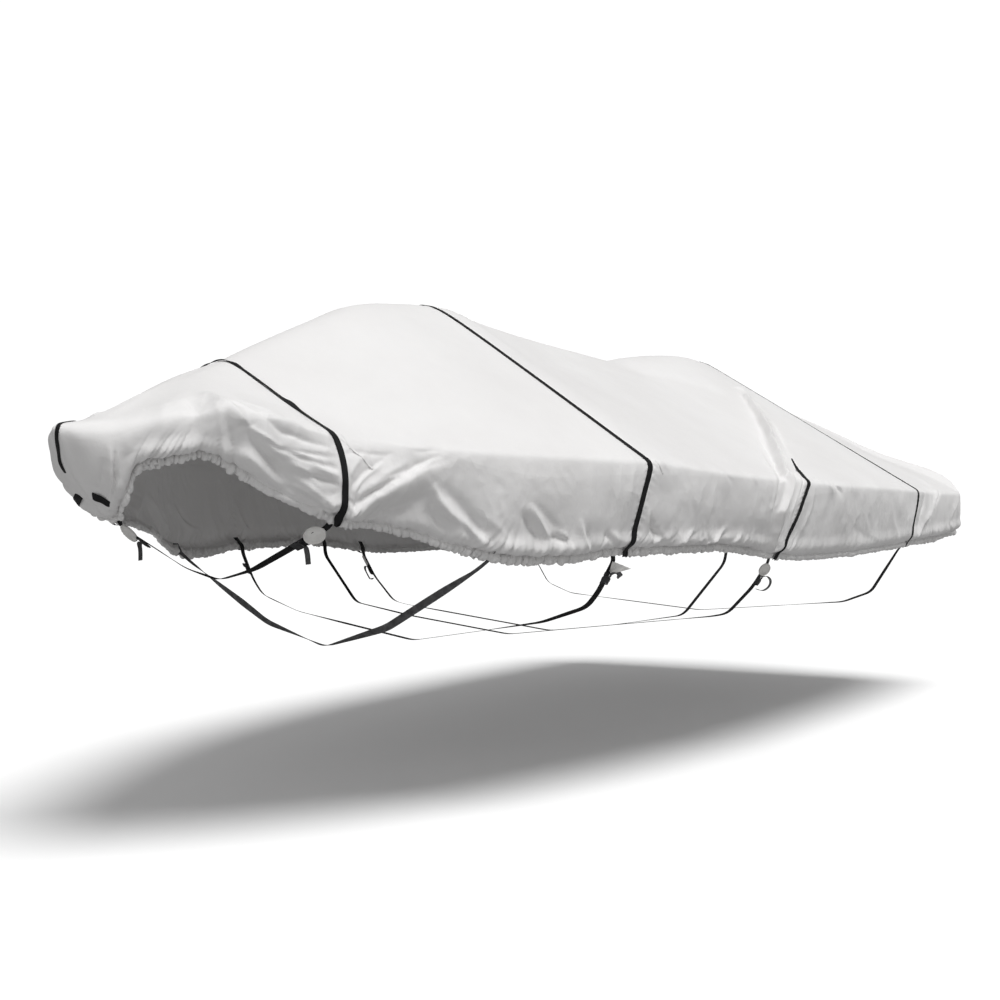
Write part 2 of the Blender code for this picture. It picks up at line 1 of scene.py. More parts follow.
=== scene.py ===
"""Looks of the fitted boat cover: draped cloth, webbing, tie-downs, studio and camera.

Frame: metres, +Z up, +X aft, +Y to starboard, with the origin under the cloth at the crest of
the front hump.  The cloth is drawn over the same sections as the CAD cover, with finer rows and
its folds placed one by one.
"""
import math

import bmesh
import bpy
import numpy as np
from mathutils import Matrix, Vector


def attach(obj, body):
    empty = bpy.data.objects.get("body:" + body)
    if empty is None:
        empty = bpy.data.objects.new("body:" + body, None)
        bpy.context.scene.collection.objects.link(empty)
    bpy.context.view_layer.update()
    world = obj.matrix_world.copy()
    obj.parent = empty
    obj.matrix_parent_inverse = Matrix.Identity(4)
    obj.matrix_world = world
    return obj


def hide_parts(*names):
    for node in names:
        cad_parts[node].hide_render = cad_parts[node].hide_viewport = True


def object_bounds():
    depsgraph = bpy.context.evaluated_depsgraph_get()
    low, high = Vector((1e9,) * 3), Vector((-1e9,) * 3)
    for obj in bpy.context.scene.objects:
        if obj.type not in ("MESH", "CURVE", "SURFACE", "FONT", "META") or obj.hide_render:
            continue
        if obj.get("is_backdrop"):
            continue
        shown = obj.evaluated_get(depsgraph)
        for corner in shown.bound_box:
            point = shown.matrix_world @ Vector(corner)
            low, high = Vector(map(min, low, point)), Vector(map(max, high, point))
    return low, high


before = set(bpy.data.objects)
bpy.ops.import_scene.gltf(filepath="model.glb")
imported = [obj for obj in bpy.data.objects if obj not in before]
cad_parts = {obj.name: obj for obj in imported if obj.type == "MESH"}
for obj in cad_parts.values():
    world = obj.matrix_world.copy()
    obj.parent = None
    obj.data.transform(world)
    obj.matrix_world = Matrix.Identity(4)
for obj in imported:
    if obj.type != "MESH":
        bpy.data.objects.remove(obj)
CAD_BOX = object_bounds()

# ---------------------------------------------------------------- driving dimensions
CLOTH = 0.0014           # cover cloth with its coating
WEBBING = 0.0018         # thickness of the webbing
CLEARANCE = 0.0006       # between the webbing and what it lies on
SIDES = ((-1, "port"), (1, "starboard"))
STRAP_WIDTH = 0.027
BOW_STRAP_WIDTH = 0.022
CREST_S = 1.80           # distance of the origin aft of the bow tip
FLOOR = -1.80            # the floor's height under the origin
CASING_HEIGHT = 0.025    # elastic casing along the hem
# The bow pocket's form beyond its sections: how far, round which w, and how wide a stretch of w.
NOSE_OUT = (0.030, 0.005, 0.070)        # stands out at the stem's top
NOSE_IN = (0.022, -0.190, 0.065)        # has sagged in lower down
NOSE_LOW = (0.034, -0.280, 0.070)       # and is drawn in under its belt
NOSE_RISE = (0.016, 0.015, 0.065)       # its top corner is pulled up
NOSE_REACH = 0.14        # how far aft of the stem all four fade out
STERN_DROP = 0.052       # the top lies lower aft of the stern strap
STERN_HALF = 1.10        # half the breadth within which it does
STERN_FADE = 0.50        # it grows to its full depth over this breadth
STEM_FADE = 0.012        # folds fade out over this distance from the stem

# The sections of the CAD cover.  s is the distance aft of the bow tip, b half the breadth and h
# the height over a level that lies CREST under the origin, for the edge between top and skirt and
# for the hem.
SECTION_COLUMNS = ("edge_s", "edge_b", "edge_h", "hem_s", "hem_b", "hem_h", "ridge_s",
                   "belly_out", "belly_up", "blunt")
SECTIONS = (
    (0.045, 0.000, 0.100, 0.225, 0.000, -0.148, 0.420, 0.120, 0.10, 0.04),   # stem
    (0.050, 0.050, 0.102, 0.215, 0.050, -0.140, 0.435, 0.090, 0.15, 0.04),
    (0.095, 0.105, 0.110, 0.200, 0.090, -0.105, 0.465, 0.050, 0.25, 0.05),   # cheek
    (0.165, 0.175, 0.135, 0.205, 0.138, -0.012, 0.520, 0.040, 0.35, 0.06),
    (0.258, 0.262, 0.165, 0.262, 0.190, 0.014, 0.575, 0.050, 0.40, 0.08),    # shoulder
    (0.355, 0.335, 0.177, 0.345, 0.245, 0.032, 0.620, 0.070, 0.40, 0.10),    # hem arch
    (0.500, 0.415, 0.145, 0.480, 0.330, -0.048, 0.670, 0.080, 0.40, 0.13),
    (0.700, 0.455, 0.118, 0.700, 0.455, -0.155, 0.730, 0.105, 0.45, 0.15),   # front strap
    (0.930, 0.610, 0.080, 0.930, 0.540, -0.203, 0.930, 0.080, 0.40, 0.14),
    (1.400, 0.825, 0.061, 1.400, 0.740, -0.288, 1.400, 0.065, 0.40, 0.12),
    (1.860, 0.965, 0.054, 1.850, 0.880, -0.272, 1.860, 0.055, 0.40, 0.08),   # mid strap
    (2.400, 1.070, 0.022, 2.400, 0.980, -0.270, 2.400, 0.055, 0.40, 0.08),
    (3.030, 1.142, 0.005, 2.880, 1.035, -0.305, 3.050, 0.060, 0.40, 0.08),   # aft strap
    (3.420, 1.165, -0.003, 3.380, 1.065, -0.308, 3.430, 0.060, 0.40, 0.10),
    (3.900, 1.182, -0.006, 3.880, 1.085, -0.298, 3.900, 0.060, 0.40, 0.10),
    (4.600, 1.195, -0.015, 4.600, 1.110, -0.273, 4.600, 0.055, 0.40, 0.03),  # stern strap
    (5.200, 1.190, -0.022, 5.220, 1.120, -0.258, 5.150, 0.050, 0.40, 0.12),
    (5.620, 1.165, -0.020, 5.660, 1.120, -0.250, 5.400, 0.030, 0.40, 0.15),  # quarter
    (5.705, 1.080, 0.065, 5.750, 1.040, -0.256, 5.440, 0.020, 0.40, 0.15),
    (5.750, 0.600, 0.275, 5.790, 0.600, -0.262, 5.470, 0.020, 0.40, 0.15),
    (5.760, 0.000, 0.535, 5.800, 0.000, -0.262, 5.500, 0.020, 0.40, 0.15),   # stern centre
)
RIDGE = (   # s, h
    (0.42, 0.252), (0.72, 0.363), (0.90, 0.436), (1.17, 0.538), (1.41, 0.622), (1.60, 0.652),
    (1.97, 0.680), (2.10, 0.660), (2.57, 0.628), (3.06, 0.610), (3.40, 0.600), (3.60, 0.630),
    (4.00, 0.680), (4.35, 0.704), (4.60, 0.700), (4.85, 0.662), (5.19, 0.605), (5.50, 0.560),
)

# Folds, in millimetres: a runs aft round the edge from the stem, w down (-) or up (+) the cloth
# from the edge.  The columns are near and far, the width of the flank to the left and to the
# right of the fold's path, depth, positive for a ridge and negative for a valley, and then the
# path's points (a, w).
PORT_FOLDS = (
    # stem and bow pocket
    (9, 20, 8, (20, -10), (19, -60), (16, -130)),
    (10, 14, 8, (13, -120), (18, -170), (14, -230)),
    (10, 20, 14, (130, -60), (115, -120), (90, -180), (60, -220)),
    (10, 14, 9, (150, -70), (138, -125), (118, -190)),
    (6, 7, -9, (140, -70), (126, -125), (104, -185)),
    (12, 14, -9, (98, -90), (80, -132), (55, -180)),
    (8, 12, 7, (60, -240), (30, -245)),
    (8, 10, -6, (50, -275), (20, -285)),
    (10, 14, -5, (70, -200), (40, -160)),
    (30, 30, 5, (180, -20), (190, -90)),
    # cheek: a broad soft hollow, and the roll aft of it
    (40, 34, -16, (360, 100), (385, -20), (450, -145)),
    (40, 40, 7, (270, 90), (300, -30), (330, -120)),
    (26, 22, 13, (430, 20), (480, -90), (530, -150)),
    (14, 14, -9, (470, -30), (525, -110), (580, -165)),
    # long folds from the cheek down to the front tie-down
    (12, 26, 22, (420, 140), (470, 0), (540, -50), (650, -90), (780, -115)),
    (14, 22, 12, (450, 100), (540, 5), (670, -4), (810, -18)),
    (12, 16, -9, (520, 20), (640, -35), (800, -55)),
    (10, 12, -17, (530, -45), (600, -75), (700, -105), (820, -125)),
    (6, 9, -7, (640, -85), (720, -90), (820, -88)),
    (22, 16, -30, (540, -55), (585, -100), (640, -145), (710, -195), (810, -262)),
    (14, 18, 17, (570, -125), (660, -170), (740, -205), (830, -268)),
    (14, 16, -14, (565, -185), (610, -200), (650, -213)),
    (7, 10, 9, (680, -125), (725, -142), (775, -190)),
    (7, 11, -11, (700, -142), (760, -162), (825, -178)),
    (7, 10, 9, (705, -160), (765, -198), (810, -238)),
    (7, 10, 8, (740, -115), (790, -140), (830, -150)),
    (8, 12, -10, (680, -235), (750, -268), (800, -285)),
    (8, 10, -6, (620, -165), (700, -222)),
    # fan drawn together at the front tie-down, and the dark facet under its edge
    (12, 18, -12, (1190, -20), (1100, -60), (990, -155), (875, -235)),
    (12, 14, 9, (1070, -50), (970, -140), (872, -212)),
    (6, 10, 8, (1170, -35), (1020, -115), (885, -215)),
    (6, 9, -10, (1090, -85), (980, -160), (885, -235)),
    (6, 9, 8, (990, -75), (925, -140), (880, -190)),
    (10, 14, -9, (1000, -50), (940, -115), (872, -180)),
    (10, 12, 6, (950, -40), (910, -90), (870, -140)),
    (60, 14, 30, (1150, -68), (1068, -105), (985, -167), (897, -235), (860, -275)),
    (46, 34, -36, (1130, -165), (1050, -215), (950, -280)),
    (12, 26, 6, (1135, -95), (1162, -116), (1220, -175)),
    (22, 30, -20, (1160, -130), (1200, -200), (1270, -260)),
    (10, 14, 8, (1060, -225), (980, -275), (920, -295)),
    (12, 16, -6, (1100, -6), (1210, 2)),
    (8, 10, -6, (860, -75), (920, -52), (1020, -30)),
    # skirt between the front and the mid strap
    (14, 20, 20, (1180, -135), (1260, -196), (1345, -254), (1400, -285)),
    (20, 26, -20, (1220, -130), (1310, -185), (1380, -245), (1440, -290)),
    (10, 14, -12, (1280, -205), (1330, -255), (1370, -300)),
    (12, 22, 7, (1400, -210), (1480, -265)),
    (7, 14, 15, (1555, -175), (1600, -215), (1655, -262)),
    (14, 16, -20, (1530, -200), (1574, -246), (1612, -275)),
    (12, 20, -10, (1580, -165), (1640, -200), (1700, -235)),
    (10, 14, -14, (1655, -262), (1710, -272), (1765, -284)),
    (8, 12, 9, (1690, -235), (1740, -268), (1775, -310)),
    (8, 14, 12, (1790, -215), (1820, -265), (1865, -325)),
    (8, 12, -9, (1830, -240), (1870, -300)),
    (26, 34, 7, (1800, -10), (1820, -140), (1840, -240)),
    (20, 24, -6, (1910, -30), (1930, -160), (1945, -250)),
    (7, 10, -11, (1910, -325), (1937, -263), (1990, -300)),
    (7, 10, 9, (1960, -255), (2020, -285)),
    (12, 16, 5, (2010, -30), (2020, -150), (2030, -260)),
    # aft of the mid strap
    (9, 22, -18, (2165, -200), (2195, -240), (2265, -272)),
    (8, 12, 10, (2140, -180), (2165, -230), (2200, -285)),
    (8, 10, 5, (2160, 12), (2200, -20)),
    (7, 10, 8, (2210, -285), (2270, -262)),
    (7, 12, 11, (2330, -286), (2378, -265), (2430, -232)),
    (6, 10, -10, (2360, -292), (2410, -268), (2460, -238)),
    (6, 10, -7, (2280, -275), (2330, -245)),
    (8, 14, 12, (2530, -285), (2590, -250), (2650, -210)),
    (6, 12, -11, (2560, -292), (2620, -258), (2680, -222)),
    (7, 12, 10, (2690, -290), (2735, -262), (2790, -232)),
    (6, 10, -9, (2720, -298), (2770, -268), (2810, -245)),
    (6, 10, 7, (2460, -280), (2500, -252)),
    (7, 10, 7, (2840, -290), (2870, -250)),
    (10, 14, -5, (2600, 0), (2640, -30)),
    (10, 14, 4, (2800, 10), (2840, -30)),
    # long soft trough under the ridge
    (70, 90, -14, (2230, 750), (2800, 940), (3680, 1210)),
    (50, 70, -10, (3550, 1160), (3780, 1080), (4100, 930)),
    # pleats from the aft hump to the aft strap, and on down to the hem
    (36, 10, 50, (4500, 960), (4300, 827), (3876, 514), (3454, 249), (3115, 20), (3090, -134), (3210, -310)),
    (9, 11, -44, (4440, 900), (3845, 467), (3475, 231), (3165, 22), (3140, -134), (3240, -310)),
    (11, 16, 26, (4340, 800), (3817, 417), (3501, 209), (3215, 22), (3200, -134), (3270, -310)),
    (10, 24, -15, (4100, 560), (3760, 345), (3530, 175), (3262, 18), (3250, -100), (3290, -280)),
    (16, 12, -10, (3620, 410), (3300, 165), (3040, 0), (3030, -120), (3160, -300)),
    (20, 14, 7, (3400, 300), (3180, 140), (3000, 0), (3000, -120), (3120, -290)),
    (18, 24, 5, (3370, -30), (3400, -180), (3370, -320)),
    # aft skirt and stern
    (10, 20, -11, (3580, 30), (3619, -2), (3711, -41)),
    (10, 14, 6, (3530, 10), (3600, -40)),
    (10, 14, 6, (3460, 50), (3500, 0)),
    (20, 30, -6, (3950, -190), (4100, -235), (4300, -255)),
    (20, 34, 6, (4400, -80), (4500, -180), (4620, -250)),
    (20, 24, -5, (4700, -20), (4740, -160)),
    (14, 30, 20, (5400, 120), (5300, 50), (5150, -50), (5008, -150), (4895, -228)),
    (14, 22, -14, (5340, 20), (5190, -80), (5050, -175)),
    (14, 20, -8, (5000, 10), (4970, -80), (4910, -170)),
    (14, 30, 14, (5780, 0), (5635, -93), (5600, -200)),
    (10, 14, -10, (5740, -40), (5690, -130), (5665, -220)),
    (8, 14, -11, (5550, -170), (5630, -215)),
)
STARBOARD_FOLDS = (
    (100, 100, -45, (100, 50), (460, 10)),
    (120, 120, -24, (280, -20), (500, 50), (760, 100)),
    (110, 110, -36, (60, 120), (550, 240)),
    (10, 18, 7, (22, -10), (22, -60), (20, -130)),
    (16, 24, 10, (110, -50), (90, -110), (70, -180)),
    (10, 14, 8, (20, -150), (50, -200), (50, -250)),
    (10, 14, -6, (50, -120), (80, -190)),
    (30, 44, -24, (400, 60), (500, -60), (660, -210)),
    (16, 28, 20, (460, 100), (570, -20), (820, -160)),
    (12, 16, -12, (500, 10), (620, -60), (800, -100)),
    (12, 22, 14, (530, -50), (660, -140), (790, -250)),
    (12, 18, -8, (620, 0), (740, -20), (830, -20)),
    (8, 12, -8, (660, -180), (750, -240)),
    (12, 30, 22, (1210, -30), (1060, -130), (900, -260)),
    (24, 40, -24, (1270, -110), (1120, -200), (1000, -280)),
    (12, 16, -9, (1100, -40), (980, -130), (880, -200)),
    (14, 26, -16, (1340, -150), (1480, -260)),
    (12, 18, 12, (1300, -160), (1400, -270)),
    (14, 30, -16, (1590, -180), (1680, -240), (1800, -270)),
    (10, 16, 10, (1620, -160), (1700, -215)),
    (22, 30, 7, (1990, -20), (2010, -150), (2030, -270)),
    (12, 22, -13, (2150, -150), (2190, -240), (2270, -280)),
    (26, 30, -7, (2310, -40), (2280, -150), (2270, -260)),
    (8, 14, 10, (2420, -300), (2500, -240)),
    (8, 14, 10, (2600, -300), (2680, -240)),
    (8, 12, -9, (2630, -305), (2710, -250)),
    (12, 24, 9, (2870, -190), (2780, -250), (2690, -290)),
    (70, 90, -12, (2470, 800), (3570, 1160)),
    (30, 12, 24, (4440, 920), (4200, 750), (3760, 460), (3460, 220), (3200, 20), (3160, -130), (3230, -310)),
    (10, 12, -17, (4380, 860), (3730, 420), (3490, 200), (3245, 20), (3205, -130), (3260, -310)),
    (12, 18, 13, (4200, 720), (3700, 370), (3520, 180), (3285, 20), (3250, -100)),
    (16, 14, -9, (3600, 360), (3300, 140), (3100, 0), (3090, -120), (3180, -300)),
    (12, 20, -9, (3820, 30), (3880, -50)),
    (20, 34, -8, (4170, -30), (4110, -160), (4090, -250)),
    (18, 30, 7, (4360, -120), (4500, -240)),
    (14, 30, 17, (5420, 100), (5170, -50), (5030, -160), (4920, -220)),
    (14, 22, -11, (5340, 0), (5100, -140)),
    (14, 30, 12, (5670, -20), (5630, -130), (5570, -210)),
    (12, 20, -10, (5730, 0), (5700, -140), (5660, -220)),
)
STERN_FOLDS = (   # round the stern, on both sides
    (20, 36, -10, (5900, 20), (5860, -140), (5800, -260)),
    (22, 40, 10, (6100, -40), (6060, -220), (6020, -360)),
    (26, 44, -11, (6350, 20), (6330, -260), (6300, -460)),
    (26, 46, 10, (6620, -50), (6600, -350), (6590, -580)),
    (22, 36, -8, (6800, -100), (6780, -400), (6770, -620)),
)
FLARES = (   # a, how far the hem stands out there beyond its section
    (0.0, 0.0), (0.85, 0.0), (0.98, -0.016), (1.18, -0.010), (1.40, 0.010), (1.80, 0.016), (2.00, 0.0),
    (2.20, 0.004), (3.20, 0.0), (3.45, 0.026), (4.40, 0.034), (5.30, 0.030), (5.75, 0.010), (6.00, 0.0))
FAN_COLUMNS = ("a", "w", "reach", "height", "count")
FANS = (   # fine folds that spread up from the tie-downs
    (0.85, -0.315, 0.130, 0.0075, 12), (2.09, -0.355, 0.085, 0.0065, 9),
    (3.29, -0.380, 0.080, 0.0050, 9), (4.87, -0.300, 0.070, 0.0045, 8), (0.10, -0.30, 0.06, 0.0040, 6),
)
PUCKERS = {   # beside each strap: height, spacing
    "front": (0.0045, 0.034), "mid": (0.0062, 0.027), "aft": (0.0052, 0.027), "stern": (0.0030, 0.030)}
HEM_STRETCHES = (   # a, reach along the hem, strength of its gathers
    (0.05, 0.10, 0.3), (0.34, 0.14, 1.4), (0.52, 0.08, 0.7), (0.84, 0.06, 1.2), (1.10, 0.12, 0.5),
    (1.45, 0.16, 0.9), (1.70, 0.18, 1.4), (2.05, 0.12, 1.1), (2.35, 0.16, 1.0), (2.68, 0.18, 1.2),
    (3.00, 0.14, 0.9), (3.32, 0.06, 0.9), (3.60, 0.20, 0.3), (4.30, 0.30, 0.3), (4.90, 0.14, 0.8),
    (5.25, 0.20, 0.8), (5.62, 0.12, 1.2), (6.30, 0.50, 0.8),
)

BUNCHES = (   # a, reach, size: where a tie-down bunches the casing
    (0.805, 0.026, 1.0), (0.885, 0.018, 0.5), (2.125, 0.018, 0.5), (3.325, 0.018, 0.35))
CASING_GATHER = 0.0145   # between the gathers of the hem's casing
DART_WIDTH = 0.006
DARTS = (   # side, path (a, w)
    (-1, ((0.852, -0.012), (0.905, -0.055), (0.965, -0.098))), (-1, ((0.868, 0.010), (0.885, -0.050))),
    (-1, ((2.150, 0.012), (2.185, -0.040))), (1, ((0.852, -0.012), (0.905, -0.055), (0.965, -0.098))),
)
UNDER_STRAPS = (   # name, edge s, hem s, (b, h) from hem to centreline, turns in degrees
    ("a", 0.70, 0.70, ((0.430, -0.165), (0.140, -0.300), (0.0, -0.335)), (0, 22, 28, 28, 22, 6, 0)),
    ("b", 1.25, 1.25, ((0.620, -0.310), (0.260, -0.515), (0.0, -0.590)), (0, 10, 55, 80, 62, 30, 0)),
    ("c", 1.80, 1.80, ((0.848, -0.290), (0.790, -0.400), (0.741, -0.459), (0.561, -0.519),
                       (0.318, -0.559), (0.0, -0.610)), (0, 20, 24, 12, 0, 0, 0)),
    ("d", 2.55, 2.52, ((0.975, -0.320), (0.800, -0.530), (0.500, -0.580), (0.0, -0.640)),
     (0, 6, 6, 0, 0, 0, 0)),
    ("e", 3.03, 2.88, ((1.020, -0.330), (0.955, -0.430), (0.844, -0.544), (0.777, -0.558),
                       (0.0, -0.650)), (0, 15, 12, 0, 0, 0, 0)),
    ("f", 4.60, 4.60, ((1.090, -0.310), (0.947, -0.534), (0.800, -0.590), (0.0, -0.660)),
     (0, 18, 18, 6, 0, 0, 0)),
)
FITTINGS = (   # name, form, strap, across, down, width, length, turn in degrees
    ("pouch_front", "pad", "a", 0.000, 0.052, 0.058, 0.080, 52),
    ("buckle_front", "buckle", "a", 0.000, 0.120, 0.038, 0.046, 28),
    ("flap_mid", "flap", "c", 0.034, 0.025, 0.080, 0.042, 30),
    ("buckle_mid", "buckle", "c", 0.000, 0.071, 0.038, 0.046, 24),
    ("pouch_aft", "pad", "e", 0.000, 0.030, 0.048, 0.056, 35),
    ("buckle_aft", "buckle", "e", 0.000, 0.084, 0.038, 0.046, 15),
)
TAILS = (   # name, strap, down, turn, width, local path from the buckle: (across, down, out)
    ("tail_front", "a", 0.110, 20, 0.022,
     ((0.000, 0.0, 0.007), (0.008, -0.008, 0.014), (0.022, 0.0, 0.032), (0.034, 0.012, 0.060))),
    ("tail_mid", "c", 0.050, 20, 0.024,
     ((0.004, 0.0, 0.007), (0.016, -0.008, 0.013), (0.036, -0.008, 0.016), (0.052, 0.002, 0.015))),
    ("tail_aft", "e", 0.062, 15, 0.016,
     ((0.0, 0.0, 0.008), (0.010, -0.014, 0.020), (0.034, -0.006, 0.036), (0.044, 0.024, 0.040),
      (0.030, 0.052, 0.034), (0.006, 0.058, 0.014))),
)
BUCKLE_BLOCKS = (   # centre and size (across, down, out), edge radius
    ((0.0, 0.0060, 0.0044), (0.0340, 0.0230, 0.0084), 0.0022),      # housing
    ((0.0, -0.0075, 0.0042), (0.0290, 0.0070, 0.0066), 0.0016),     # its mouth
    ((0.0, 0.0065, 0.0087), (0.0170, 0.0150, 0.0012), 0.0005),      # raised panel
    ((-0.0170, 0.0035, 0.0044), (0.0050, 0.0120, 0.0052), 0.0014),  # catches
    ((0.0170, 0.0035, 0.0044), (0.0050, 0.0120, 0.0052), 0.0014),
    ((-0.0148, -0.0160, 0.0040), (0.0040, 0.0140, 0.0058), 0.0010), # ladder end
    ((0.0148, -0.0160, 0.0040), (0.0040, 0.0140, 0.0058), 0.0010),
    ((0.0, -0.0212, 0.0036), (0.0330, 0.0036, 0.0050), 0.0010),
    ((0.0, -0.0150, 0.0046), (0.0270, 0.0030, 0.0038), 0.0009),
    ((-0.0158, 0.0190, 0.0038), (0.0040, 0.0080, 0.0054), 0.0010),  # webbing end
    ((0.0158, 0.0190, 0.0038), (0.0040, 0.0080, 0.0054), 0.0010),
    ((0.0, 0.0214, 0.0036), (0.0350, 0.0034, 0.0050), 0.0010),
)
POUCH_RINGS = (   # share of the half width and length, height
    (0.05, 0.0), (0.60, 0.0), (0.95, 0.0005), (1.00, 0.0020), (1.03, 0.0045), (1.01, 0.0075), (0.96, 0.0090),
    (0.91, 0.0082), (0.87, 0.0055), (0.83, 0.0040), (0.74, 0.0048), (0.58, 0.0062), (0.40, 0.0070),
    (0.22, 0.0074), (0.04, 0.0075))

# ---------------------------------------------------------------- the cloth's surface
SKIRT_ROWS = 50          # rows from hem to edge, closer together at both
TOP_ROWS = 39            # rows from edge to ridge
TOP_GROWTH = 1.7         # how much wider the rows grow towards the ridge
LEAN_SLOPE, LEAN_TURN = 1.48, 0.82      # the aft pleat's slope, and the w past which it eases
LEAN_EASED = 0.20        # its slope from there on
CHEEK_REACH = 0.42       # how far aft the bow's own smoothing fades out
EDGE_PASSES = (12, SKIRT_ROWS - 24, SKIRT_ROWS + 14)    # passes, first and last row: round the edge
CHEEK_PASSES = (260, 6, SKIRT_ROWS + 26)                # and more of them at the bow
TABLE = dict(zip(SECTION_COLUMNS, np.array(SECTIONS).T))
PLAN_STEP = np.hypot(np.diff(TABLE["edge_s"]), np.diff(TABLE["edge_b"]))
EDGE_KNOTS = np.concatenate(([0.0], np.cumsum(PLAN_STEP)))
EDGE_END = EDGE_KNOTS[-1]
RIDGE_S, RIDGE_H = np.array(RIDGE).T
EVEN = np.linspace(0.0, 1.0, SKIRT_ROWS + 1)
SHARES = np.concatenate([0.6 * EVEN + 0.2 * (1 - np.cos(np.pi * EVEN)) - 1.0,
                         np.linspace(0.0, 1.0, TOP_ROWS + 1)[1:] ** TOP_GROWTH])


def clamp(values):
    """The values, held between 0 and 1."""
    return np.clip(values, 0.0, 1.0)


def eased(share):
    """A share from 0 to 1 that starts and ends gently."""
    return share * share * (3 - 2 * share)


def below(values, level, fade):
    """1 well below the level and 0 well above it."""
    return 1.0 / (1.0 + np.exp((values - level) / fade))


def smooth(knots, values, at):
    """Monotone cubic through the table's values."""
    knots, values, at = np.asarray(knots, float), np.asarray(values, float), np.asarray(at, float)
    step = np.diff(knots)
    rise = np.diff(values) / step
    slope = np.zeros(len(knots))
    for i in range(1, len(knots) - 1):
        if rise[i - 1] * rise[i] > 0:
            near, far = 2 * step[i] + step[i - 1], step[i] + 2 * step[i - 1]
            slope[i] = (near + far) / (near / rise[i - 1] + far / rise[i])
    slope[0], slope[-1] = rise[0], rise[-1]
    i = np.clip(np.searchsorted(knots, at) - 1, 0, len(step) - 1)
    t = (at - knots[i]) / step[i]
    return (values[i] * (1 + 2 * t) * (1 - t) ** 2 + step[i] * slope[i] * t * (1 - t) ** 2
            + values[i + 1] * t * t * (3 - 2 * t) + step[i] * slope[i + 1] * t * t * (t - 1))


def at_s(s):
    """The distance a round the edge at which the edge lies s aft of the bow tip."""
    a = np.linspace(0.0, EDGE_END, 4000)
    return float(np.interp(s, smooth(EDGE_KNOTS, TABLE["edge_s"], a), a))


CREST = float(smooth(RIDGE_S, RIDGE_H, CREST_S)) - 0.002
STRAPS = {name: at_s(s) for name, s in
          (("front", 0.70), ("mid", 1.86), ("aft", 3.03), ("stern", 4.60))}
COLUMN_BANDS = (   # from a, spacing of the mesh columns from there on
    (0.0, 0.0060), (0.25, 0.0068), (1.50, 0.0085), (STRAPS["mid"] - 0.05, 0.0045),
    (STRAPS["mid"] + 0.07, 0.0115), (2.96, 0.0062), (3.46, 0.0145), (STRAPS["stern"] - 0.04, 0.006),
    (STRAPS["stern"] + 0.05, 0.0090), (5.22, 0.0145),
)


def column_places():
    """a of every mesh column; the cover's lengths end at STRAPS, so each of those has one."""
    starts = [start for start, _ in COLUMN_BANDS] + [EDGE_END]
    marks = sorted({*starts, STRAPS["front"], STRAPS["mid"], STRAPS["stern"]})
    places = [0.0]
    for near, far in zip(marks, marks[1:]):
        spacing = [step for start, step in COLUMN_BANDS if start <= near + 1e-9][-1]
        places += list(np.linspace(near, far, int(np.ceil((far - near) / spacing)) + 1)[1:])
    return np.array(places)


def value_noise(u, v, seed):
    """Smooth noise from -1 to 1 over two coordinates."""
    table = np.random.default_rng(seed).uniform(-1.0, 1.0, (64, 64))
    i, j = np.floor(u).astype(int), np.floor(v).astype(int)
    fu, fv = eased(u - i), eased(v - j)
    corner = lambda di, dj: table[(i + di) % 64, (j + dj) % 64]
    low = corner(0, 0) * (1 - fu) + corner(1, 0) * fu
    high = corner(0, 1) * (1 - fu) + corner(1, 1) * fu
    return low * (1 - fv) + high * fv


def line_noise(u, seed):
    """Smooth noise from -1 to 1 over one coordinate."""
    return value_noise(u, np.zeros_like(u), seed)


def bell(distance, width):
    """1 at no distance, falling to about a third at the width."""
    return np.exp(-(distance / width) ** 2)


def lobes(phase, power=0.75):
    """Round lobes with sharp valleys between them, one for each unit of phase; mean near 0."""
    return np.abs(np.sin(np.pi * phase)) ** power - 0.66


def uneven(a, spacing, seed):
    """Phase that grows by about one each spacing, unevenly."""
    return (a / spacing + 0.55 * line_noise(a / (2.3 * spacing), seed)
            + 0.30 * line_noise(a / (1.1 * spacing), seed + 1))


